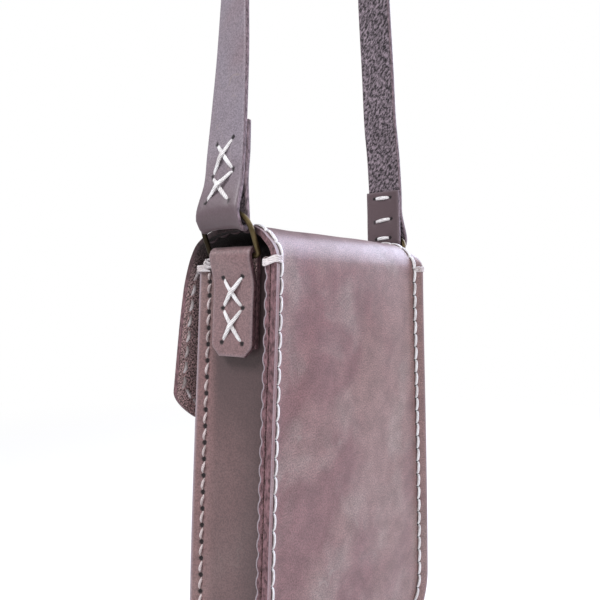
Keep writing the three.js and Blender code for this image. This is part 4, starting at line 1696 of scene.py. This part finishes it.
def raw_cut(name, main, shaded=0.0):
    """Leather's cut edge: knife-cut and only rubbed with wax, so its fibres show as streaks."""
    material, tree = new_material(name)
    place = add_node(tree, "ShaderNodeTexCoord").outputs["Object"]
    drawn = add_node(
        tree, "ShaderNodeMapping", {"Vector": place, "Scale": (1.0, 1.0, 0.4)}
    ).outputs[0]
    fibre = add_node(
        tree,
        "ShaderNodeTexNoise",
        {"Vector": drawn, "Scale": 1 / (0.8 * MM), "Detail": 4, "Roughness": 0.7},
    ).outputs["Fac"]
    streak = add_node(
        tree, "ShaderNodeMapRange", dict(zip(RANGE, (fibre, 0.38, 0.64, 0.42, 1.65)))
    ).outputs[0]
    # painted shade: darkens the cut edges where the shade attribute marks them
    shade = add_node(tree, "ShaderNodeAttribute", attribute_name="shade").outputs["Fac"]
    painted_shade = add_node(
        tree,
        "ShaderNodeMapRange",
        dict(zip(RANGE, (shade, 0, 1, 1, 1 - shaded))),
        interpolation_type="SMOOTHSTEP",
    ).outputs[0]
    light = add_node(
        tree, "ShaderNodeMath", {0: streak, 1: painted_shade}, operation="MULTIPLY"
    ).outputs[0]
    tone = add_node(
        tree,
        "ShaderNodeVectorMath",
        {0: (*main,), "Scale": light},
        operation="SCALE",
    ).outputs[0]
    bump = add_node(
        tree,
        "ShaderNodeBump",
        {"Height": fibre, "Strength": 0.6, "Distance": 0.25 * MM},
    ).outputs[0]
    shader = add_node(
        tree,
        "ShaderNodeBsdfPrincipled",
        {
            "Base Color": tone,
            "Roughness": 0.7,
            "Normal": bump,
            "IOR": 1.45,
            "Specular IOR Level": 0.35,
        },
    )
    add_node(tree, "ShaderNodeOutputMaterial", {"Surface": shader.outputs[0]})
    return material


THREAD_LAY = 14 * MM  # length in which the thread turns once
THREAD_STRANDS = 6


def waxed_thread(name, main, worn, colours):
    """Waxed polyester thread, laid flat: its strands show as long ridges with a waxy gloss.

    Handling leaves grime in the wax, so lengths of it are greyer.
    """
    material, tree = new_material(name)
    flat = add_node(tree, "ShaderNodeAttribute", attribute_name="flat").outputs["Vector"]
    run = add_node(tree, "ShaderNodeSeparateXYZ", {0: flat}).outputs
    turn = add_node(
        tree,
        "ShaderNodeMath",
        {0: run[1], 1: 1 / THREAD_LAY, 2: run[0]},
        operation="MULTIPLY_ADD",
    ).outputs[0]
    wave = add_node(
        tree,
        "ShaderNodeMath",
        {0: turn, 1: 2 * math.pi * THREAD_STRANDS},
        operation="MULTIPLY",
    ).outputs[0]
    ply = add_node(tree, "ShaderNodeMath", {0: wave}, operation="SINE").outputs[0]
    # painted shade in the grooves between the strands
    shade = add_node(
        tree,
        "ShaderNodeMapRange",
        {"Value": ply, "From Min": -1, "From Max": 0.1, "To Min": 0.66, "To Max": 1},
    ).outputs[0]
    place = add_node(tree, "ShaderNodeTexCoord").outputs["Object"]
    grime = add_node(
        tree,
        "ShaderNodeTexNoise",
        {"Vector": place, "Scale": 1 / (5 * MM), "Detail": 3, "Roughness": 0.6},
    ).outputs["Fac"]
    dirty = add_node(
        tree,
        "ShaderNodeMapRange",
        dict(zip(RANGE, (grime, 0.4, 0.68, 0, worn))),
        interpolation_type="SMOOTHSTEP",
    ).outputs[0]
    tone = add_node(
        tree,
        "ShaderNodeMix",
        {FACTOR: dirty, LOWER: (*main, 1), UPPER: (*colours.grime, 1)},
        data_type="RGBA",
    ).outputs[RESULT]
    tone = add_node(
        tree,
        "ShaderNodeVectorMath",
        {0: tone, "Scale": shade},
        operation="SCALE",
    ).outputs[0]
    bump = add_node(
        tree,
        "ShaderNodeBump",
        {"Height": ply, "Strength": 0.6, "Distance": 0.1 * MM},
    ).outputs[0]
    shader = add_node(
        tree,
        "ShaderNodeBsdfPrincipled",
        {"Base Color": tone, "Roughness": 0.5, "Normal": bump, "IOR": 1.5},
    )
    add_node(tree, "ShaderNodeOutputMaterial", {"Surface": shader.outputs[0]})
    return material


def aged_brass(name, colours):
    """Antique brass wire: tumbled and darkened, bright only where the strap rubs it; painted shade
    darkens it towards the bag's front.
    """
    material, tree = new_material(name)
    place = add_node(tree, "ShaderNodeTexCoord").outputs["Object"]
    patina = add_node(
        tree,
        "ShaderNodeTexNoise",
        {"Vector": place, "Scale": 1 / (4 * MM), "Detail": 4, "Roughness": 0.6},
    ).outputs["Fac"]
    dull = add_node(
        tree,
        "ShaderNodeMapRange",
        {"Value": patina, "From Min": 0.4, "From Max": 0.65},
    ).outputs[0]
    # painted shade: darker towards the bag's front
    depth = add_node(tree, "ShaderNodeSeparateXYZ", {0: place}).outputs[1]
    leg_shade = add_node(
        tree,
        "ShaderNodeMapRange",
        dict(zip(RANGE, (depth, *BRASS_DARK, 0, 0.85))),
        interpolation_type="SMOOTHSTEP",
    ).outputs[0]
    tone = (*colours.brass, 1)
    for factor, upper in ((dull, WORN_BRASS), (leg_shade, BRASS_SHADE)):
        tone = add_node(
            tree,
            "ShaderNodeMix",
            {FACTOR: factor, LOWER: tone, UPPER: (*upper, 1)},
            data_type="RGBA",
        ).outputs[RESULT]
    rough = add_node(
        tree,
        "ShaderNodeMapRange",
        {"Value": patina, "From Min": 0.3, "From Max": 0.7, "To Min": 0.36, "To Max": 0.54},
    ).outputs[0]
    shader = add_node(
        tree,
        "ShaderNodeBsdfPrincipled",
        {"Base Color": tone, "Metallic": 1.0, "Roughness": rough},
    )
    add_node(tree, "ShaderNodeOutputMaterial", {"Surface": shader.outputs[0]})
    return material


def finishes():
    """The bag's finishes by name, made once."""
    colours = bpy.context.scene.phone_bag_colours
    makers = {
        "shell_grain": lambda n: oiled_grain(n, colours.taupe, 1.2, colours, 0.0),
        "tab_grain": lambda n: oiled_grain(n, colours.tab, 0.4, colours, 2.6, 0.0, 0.2),
        # painted shade on the gusset's wall, under the tabs and at the back fold
        "gusset_grain": lambda n: oiled_grain(
            n, colours.gusset, 0.45, colours, 0.7, 0.85, 0.75, colours.painted_shade_umber
        ),
        # painted shade on the strap's folded ends and round its loops
        "strap_grain": lambda n: oiled_grain(n, colours.strap, 0.3, colours, 1.9, 0.95, 0.1),
        "flesh_side": lambda n: fibrous_flesh(n, colours.flesh, 0.65 * MM, 1.2),
        # painted shade darkens this flesh inside the roll
        "flap_flesh": lambda n: fibrous_flesh(n, colours.flesh, 0.65 * MM, 1.2, 0.95),
        "strap_flesh": lambda n: fibrous_flesh(n, colours.strap_flesh, 1.15 * MM, 1.9),
        "cut_edge": lambda n: raw_cut(n, colours.cut),
        # painted shade darkens these cut edges inside the roll
        "shell_edge": lambda n: raw_cut(n, colours.cut, 0.8),
        "strap_edge": lambda n: raw_cut(n, colours.strap_cut),
        "clean_thread": lambda n: waxed_thread(n, colours.thread, 0.4, colours),
        "worn_thread": lambda n: waxed_thread(n, colours.worn_thread, 0.7, colours),
        "dull_thread": lambda n: waxed_thread(n, colours.dull_thread, 0.8, colours),
        # painted shade: the roll's inner stitches take the painted shade tone as their colour
        "dark_thread": lambda n: waxed_thread(n, colours.painted_shade, 0.0, colours),
        "aged_brass": lambda n: aged_brass(n, colours),
    }
    return {
        name: bpy.data.materials.get(name) or make(name) for name, make in makers.items()
    }


def leather_of(grain, flesh="flesh_side", cut="cut_edge"):
    made = finishes()
    return [made[grain], made[flesh], made[cut]]


# Operators


class PHONEBAG_OT_shell(bpy.types.Operator):
    """Cuts the back panel, roll and flap in one piece"""

    bl_idname = "phonebag.shell"
    bl_label = "Back, roll and flap"

    def execute(self, context):
        sizes = context.scene.phone_bag_sizes
        lines = [back_line(sizes), flap_line(sizes)]
        lines += [line.mirror() for line in lines]
        leather_object(
            "shell",
            shell_sheet(sizes),
            leather_of("shell_grain", "flap_flesh", "shell_edge"),
            lines,
            nodes=["back_and_flap"],
            shade_at=roll_shade,
            rubbed=SHELL_RUB,
        )
        return {"FINISHED"}


class PHONEBAG_OT_front(bpy.types.Operator):
    """Cuts the front panel"""

    bl_idname = "phonebag.front"
    bl_label = "Front panel"

    def execute(self, context):
        sizes = context.scene.phone_bag_sizes
        line = front_line(sizes)
        leather_object(
            "front",
            front_sheet(sizes),
            leather_of("shell_grain"),
            [line, line.mirror()],
            nodes=["front_panel"],
        )
        return {"FINISHED"}


class PHONEBAG_OT_gusset(bpy.types.Operator):
    """Bends the gusset round the body"""

    bl_idname = "phonebag.gusset"
    bl_label = "Gusset"

    def execute(self, context):
        sizes = context.scene.phone_bag_sizes
        lines = [gusset_line(turn, sizes) for turn in (GUSSET_FRONT_TURN, GUSSET_BACK_TURN)]
        lines += [line.mirror() for line in lines]
        leather_object(
            "side_gusset",
            gusset_sheet(sizes),
            leather_of("gusset_grain"),
            lines,
            nodes=["gusset"],
            shade_at=gusset_shade,
            rubbed=GUSSET_RUB,
            squeeze_at=gusset_squeeze(sizes),
        )
        return {"FINISHED"}


def cross_holes(ribbon, rows, limits, skin):
    """Both holes of each row of crosses or bars on a ribbon, as points and normals."""
    holes = []
    for row in rows:
        pair = []
        for end in (-1, 1):
            turn = ribbon.turn_at(row.height + end * row.rise / 2, *limits)
            pair.append(ribbon.surface(turn, end * row.half, skin))
        holes.append(pair)
    return holes


def sew_crosses(thread, holes):
    """A cross between each two rows, the strand from upper right to lower left on top."""
    for (up_left, up_right), (low_left, low_right) in zip(holes, holes[1:]):
        thread.span(up_left, low_right, width=CROSS_WIDTH)
        hump = thread.sizes.thread_height * CROSS_HUMP
        thread.span(up_right, low_left, hump, CROSS_WIDTH)


def sew_bars(thread, holes):
    for left, right in holes:
        thread.span(left, right, width=BAR_WIDTH)


TAB_LIMITS = (1, 4)  # turns of the tab's outer layer, from the foot to the shoulder


class PHONEBAG_OT_tabs(bpy.types.Operator):
    """Folds the tabs round the rings' bars and sews them with crosses"""

    bl_idname = "phonebag.tabs"
    bl_label = "Tabs"

    def execute(self, context):
        sizes = context.scene.phone_bag_sizes
        for side in SIDES:
            ribbon = tab_ribbon(side.sign)
            holes = cross_holes(ribbon, TAB_CROSSES, TAB_LIMITS, 1)
            crosses = [point for pair in holes for point, _ in pair]
            leather_object(
                "ring_tab_" + side.name,
                ribbon.sheet(FINE, tab_half),
                leather_of("tab_grain"),
                crosses=crosses,
                nodes=["tab_" + side.name],
            )
            thread = Thread(sizes)
            sew_crosses(thread, holes)
            thread.finish("tab_crosses_" + side.name, finishes()["clean_thread"])
        return {"FINISHED"}


class PHONEBAG_OT_strap(bpy.types.Operator):
    """Lays the strap through both rings and sews its folded ends"""

    bl_idname = "phonebag.strap"
    bl_label = "Strap"

    def execute(self, context):
        sizes = context.scene.phone_bag_sizes
        ribbon = strap_ribbon()
        crosses = []
        thread = Thread(sizes)
        for side in SIDES:
            leg, folded = strap_turns(side, ribbon)
            outer = cross_holes(ribbon, STRAP_CROSSES, leg, 1)
            inner = cross_holes(ribbon, BARS, folded, 1)
            crosses += [point for pair in outer + inner for point, _ in pair]
            sew_crosses(thread, outer)
            sew_bars(thread, inner)
        leather_object(
            "long_strap",
            ribbon.sheet(STRAP_STEP, lambda distance: STRAP_WIDTH / 2),
            leather_of("strap_grain", "strap_flesh", "strap_edge"),
            crosses=crosses,
            nodes=["strap"],
            shade_at=strap_shade(ribbon.path.length),
        )
        thread.finish("strap_crosses", finishes()["clean_thread"])
        return {"FINISHED"}


class PHONEBAG_OT_rings(bpy.types.Operator):
    """Bends the two D-rings from brass wire"""

    bl_idname = "phonebag.rings"
    bl_label = "D-rings"

    def execute(self, context):
        angles = np.linspace(0, 2 * math.pi, WIRE_SIDES, endpoint=False)
        for side in SIDES:
            middle = np.array([ring_point(wide, up, side.lean) for wide, up in ring_wire()])
            along = unit(np.roll(middle, -1, axis=0) - np.roll(middle, 1, axis=0))
            upright = ring_point(0, 0, side.lean) - ring_point(0, MM, side.lean)
            flat = unit(np.cross(upright, LUG_WIDE))
            made = bmesh.new()
            rings = []
            for point, direction in zip(middle, along):
                inward = np.cross(flat, direction)
                round_wire = [
                    point + SEEN_WIRE * (flat * math.cos(a) + inward * math.sin(a))
                    for a in angles
                ]
                rings.append([made.verts.new(mirrored(place, side.sign)) for place in round_wire])
            skin(made, rings + rings[:1])
            bmesh.ops.recalc_face_normals(made, faces=made.faces)
            hang(
                "brass_ring_" + side.name,
                made,
                [finishes()["aged_brass"]],
                ["d_ring_" + side.name],
            )
        return {"FINISHED"}


class PHONEBAG_OT_stud(bpy.types.Operator):
    """Turns the stud that buttons into the flap"""

    bl_idname = "phonebag.stud"
    bl_label = "Stud"

    def execute(self, context):
        neck_end = STUD_BASE_THICKNESS + STUD_NECK_LENGTH
        centre = neck_end + math.sqrt(STUD_HEAD_RADIUS**2 - STUD_NECK_RADIUS**2)
        start = math.asin(STUD_NECK_RADIUS / STUD_HEAD_RADIUS)
        profile = [
            (0, 0),
            (STUD_BASE_RADIUS - STUD_EASE, 0),
            (STUD_BASE_RADIUS, STUD_EASE),
            (STUD_BASE_RADIUS, STUD_BASE_THICKNESS - STUD_EASE),
            (STUD_BASE_RADIUS - STUD_EASE, STUD_BASE_THICKNESS),
            (STUD_NECK_RADIUS + STUD_EASE, STUD_BASE_THICKNESS),
            (STUD_NECK_RADIUS, STUD_BASE_THICKNESS + STUD_EASE),
        ]
        for angle in np.linspace(start, math.pi, HEAD_KNOTS):
            reach = STUD_HEAD_RADIUS * math.sin(angle)
            profile.append((reach, centre - STUD_HEAD_RADIUS * math.cos(angle)))
        swell = front_swell(Station(vec(0, 0, -STUD_DROP), None, None, None, None))
        foot = vec(0, -(FRONT_FACE + swell + GAP), -STUD_DROP)
        made = bmesh.new()
        rings = []
        for radius, out in profile:
            ring = []
            for angle in np.linspace(0, 2 * math.pi, TURNED_SIDES, endpoint=False):
                ring_at = vec(radius * math.cos(angle), -out, radius * math.sin(angle))
                ring.append(made.verts.new(foot + ring_at))
            rings.append(ring)
        skin(made, rings)
        bmesh.ops.remove_doubles(made, verts=made.verts, dist=TINY)
        bmesh.ops.recalc_face_normals(made, faces=made.faces)
        hang("ball_stud", made, [finishes()["aged_brass"]], ["flap_stud"])
        return {"FINISHED"}


# How a seam's stitches lie: how far each slants, how soon its ends dip (more is sooner) and how deep
# they end, its width in the middle and the share of it at the ends, and the share of its length
# left bare at each hole
SeamLook = namedtuple("SeamLook", "slant dip depth width ends bare")
BACK_OUTER = SeamLook(0.2 * MM, 0.4, 0.22, 1.05, 0.72, 0.05)
FRONT_OUTER = SeamLook(0.35 * MM, 1.2, 0.45, 0.78, 0.3, 0.15)
INNER = SeamLook(0.3 * MM, 0.6, 0.6, 1.0, 0.7, 0.06)
FLAP_OUTER = SeamLook(0.1 * MM, 0.2, 0.45, 1.3, 0.9, 0.0)
FLAP_INNER = SeamLook(0.35 * MM, 0.8, 0.5, 1.0, 0.45, 0.12)


class PHONEBAG_OT_seams(bpy.types.Operator):
    """Sews the seams of the body and the edge of the flap by hand"""

    bl_idname = "phonebag.seams"
    bl_label = "Seams"

    def execute(self, context):
        sizes = context.scene.phone_bag_sizes
        made = finishes()
        flap = flap_line(sizes)
        inner_flap = flap.under(LEATHER)
        roll_end = math.floor(ROLL_SHADOW / sizes.stitch)
        rows = (
            ("back_seam_outer", back_line(sizes), BACK_OUTER, "clean_thread"),
            ("back_seam_inner", gusset_line(GUSSET_BACK_TURN, sizes), INNER, "worn_thread"),
            ("front_seam_outer", gusset_line(GUSSET_FRONT_TURN, sizes), FRONT_OUTER, "worn_thread"),
            ("front_seam_inner", front_line(sizes), INNER, "worn_thread"),
            ("flap_seam_outer", flap, FLAP_OUTER, "clean_thread"),
            ("flap_seam_inner", inner_flap.cut(roll_end, None), FLAP_INNER, "dull_thread"),
            ("roll_seam_inner", inner_flap.cut(0, roll_end), FLAP_INNER, "dark_thread"),
        )
        for name, line, look, material in rows:
            thread = Thread(sizes)
            thread.seam(line, *look)
            thread.seam(line.mirror(), *look)
            if name != "roll_seam_inner":
                thread.middle_stitch(line)
            thread.finish(name, made[material])
        wraps = Thread(sizes)
        for upper, lower, reach, loose in (
            (back_line(sizes), gusset_line(GUSSET_BACK_TURN, sizes), SEAM_ALLOWANCE, 0.0),
            (gusset_line(GUSSET_FRONT_TURN, sizes), front_line(sizes), FRONT_ALLOWANCE, WRAP_SLACK),
        ):
            wraps.wrap(upper, lower, reach, loose)
            wraps.wrap(upper.mirror(), lower.mirror(), reach, loose)
        start = gusset_line(GUSSET_FRONT_TURN, sizes)
        wraps.knot(start)
        wraps.knot(start.mirror())
        wraps.finish("top_wraps", made["dull_thread"])
        return {"FINISHED"}


class PHONEBAG_OT_stage(bpy.types.Operator):
    """Lays the floor and sets the light and the camera"""

    bl_idname = "phonebag.stage"
    bl_label = "Stage"

    def execute(self, context):
        lay_floor()
        light_studio()
        place_camera()
        return {"FINISHED"}


FLOOR_DROP = 60 * MM  # the floor lies this far under the hanging bag
FLOOR_RADIUS = 6.0


def lay_floor():
    made = bmesh.new()
    bmesh.ops.create_circle(made, cap_ends=True, radius=FLOOR_RADIUS, segments=64)
    mesh = bpy.data.meshes.new("floor")
    made.to_mesh(mesh)
    made.free()
    material, tree = new_material("pale_floor")
    colours = bpy.context.scene.phone_bag_colours
    paper = add_node(
        tree,
        "ShaderNodeBsdfPrincipled",
        {"Base Color": (*colours.floor, 1), "Roughness": 0.9},
    )
    glow = add_node(tree, "ShaderNodeEmission", {"Color": (1, 1, 1, 1), "Strength": 1.0})
    place = add_node(tree, "ShaderNodeTexCoord").outputs["Object"]
    away = add_node(tree, "ShaderNodeVectorMath", {0: place}, operation="LENGTH").outputs["Value"]
    fade = add_node(
        tree,
        "ShaderNodeMapRange",
        {"Value": away, "From Min": 0.15, "From Max": 1.1, "To Min": 0.35},
        interpolation_type="SMOOTHSTEP",
    ).outputs[0]
    blend = add_node(
        tree, "ShaderNodeMixShader", {0: fade, 1: paper.outputs[0], 2: glow.outputs[0]}
    )
    add_node(tree, "ShaderNodeOutputMaterial", {"Surface": blend.outputs[0]})
    mesh.materials.append(material)
    floor = bpy.data.objects.new("floor", mesh)
    floor.location = (0, 0, cad_low.z - FLOOR_DROP)
    bpy.context.scene.collection.objects.link(floor)


# Lamps: name, place, what they point at, width and power
Lamp = namedtuple("Lamp", "name at aim width power tint")
LAMPS = (
    Lamp("key", (0.3, 1.2, 0.1), (0, 0, -0.55), 0.9, 8.0, linear("#fffafa")),
    Lamp("window", (-1.0, 0.3, 0.15), (0, 0, -0.5), 1.1, 25.0, linear("#dfe6ff")),
    Lamp("top", (0.85, -0.3, 0.35), (0.05, 0, -0.5), 0.5, 12.0, linear("#fcfcff")),
)


def light_studio():
    scene = bpy.context.scene
    scene.view_settings.view_transform = "Standard"
    world = bpy.data.worlds.new("studio")
    world.use_nodes = True
    tree = world.node_tree
    tree.nodes.clear()
    seen = add_node(tree, "ShaderNodeLightPath").outputs["Is Camera Ray"]
    glow = add_node(tree, "ShaderNodeMapRange", {"Value": seen, "To Min": 0.34, "To Max": 1.0})
    light = add_node(
        tree, "ShaderNodeBackground", {"Color": (1, 1, 1, 1), "Strength": glow.outputs[0]}
    )
    add_node(tree, "ShaderNodeOutputWorld", {"Surface": light.outputs[0]})
    scene.world = world
    for lamp in LAMPS:
        data = bpy.data.lights.new(lamp.name, "AREA")
        data.shape = "DISK"
        data.size = lamp.width
        data.energy = lamp.power
        data.color = lamp.tint
        shown = bpy.data.objects.new(lamp.name, data)
        shown.location = lamp.at
        aim = Vector(lamp.aim) - Vector(lamp.at)
        shown.rotation_euler = aim.to_track_quat("-Z", "Y").to_euler()
        scene.collection.objects.link(shown)


# The photograph's view: from behind and to the right, level with the bag's top
CAMERA_AT = (210.33 * MM, 152.95 * MM, -12.18 * MM)
CAMERA_AZIMUTH = math.radians(52.226)
CAMERA_PITCH = math.radians(-0.5365)
CAMERA_LENS = 35.53
CAMERA_SENSOR = 36.0


def place_camera():
    data = bpy.data.cameras.new("camera")
    data.lens = CAMERA_LENS
    data.sensor_width = CAMERA_SENSOR
    data.clip_start = 0.01
    camera = bpy.data.objects.new("camera", data)
    flat = math.cos(CAMERA_PITCH)
    view = Vector(
        (
            -math.sin(CAMERA_AZIMUTH) * flat,
            -math.cos(CAMERA_AZIMUTH) * flat,
            math.sin(CAMERA_PITCH),
        )
    )
    camera.location = Vector(CAMERA_AT) - Vector((0, 0, STRAP_RISE))
    camera.rotation_euler = view.to_track_quat("-Z", "Y").to_euler()
    bpy.context.scene.collection.objects.link(camera)
    bpy.context.scene.camera = camera


class PHONEBAG_PT_panel(bpy.types.Panel):
    """Steps that make the bag"""

    bl_idname = "PHONEBAG_PT_panel"
    bl_label = "Phone bag"
    bl_space_type = "VIEW_3D"
    bl_region_type = "UI"
    bl_category = "Phone bag"

    def draw(self, context):
        layout = self.layout
        for group in (context.scene.phone_bag_sizes, context.scene.phone_bag_colours):
            for name in group.__annotations__:
                layout.prop(group, name)
        for step in STEPS:
            layout.operator(step.bl_idname)


STEPS = (
    PHONEBAG_OT_shell,
    PHONEBAG_OT_front,
    PHONEBAG_OT_gusset,
    PHONEBAG_OT_tabs,
    PHONEBAG_OT_rings,
    PHONEBAG_OT_strap,
    PHONEBAG_OT_stud,
    PHONEBAG_OT_seams,
    PHONEBAG_OT_stage,
)
CLASSES = (PhoneBagSizes, PhoneBagColours, *STEPS, PHONEBAG_PT_panel)


def register():
    for cls in CLASSES:
        bpy.utils.register_class(cls)
    bpy.types.Scene.phone_bag_sizes = bpy.props.PointerProperty(type=PhoneBagSizes)
    bpy.types.Scene.phone_bag_colours = bpy.props.PointerProperty(type=PhoneBagColours)


def unregister():
    del bpy.types.Scene.phone_bag_colours
    del bpy.types.Scene.phone_bag_sizes
    for cls in reversed(CLASSES):
        bpy.utils.unregister_class(cls)


def main():
    register()
    bpy.ops.phonebag.shell()
    bpy.ops.phonebag.front()
    bpy.ops.phonebag.gusset()
    bpy.ops.phonebag.tabs()
    bpy.ops.phonebag.rings()
    bpy.ops.phonebag.strap()
    bpy.ops.phonebag.stud()
    bpy.ops.phonebag.seams()
    bpy.ops.phonebag.stage()
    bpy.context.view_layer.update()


if __name__ == "__main__":
    main()
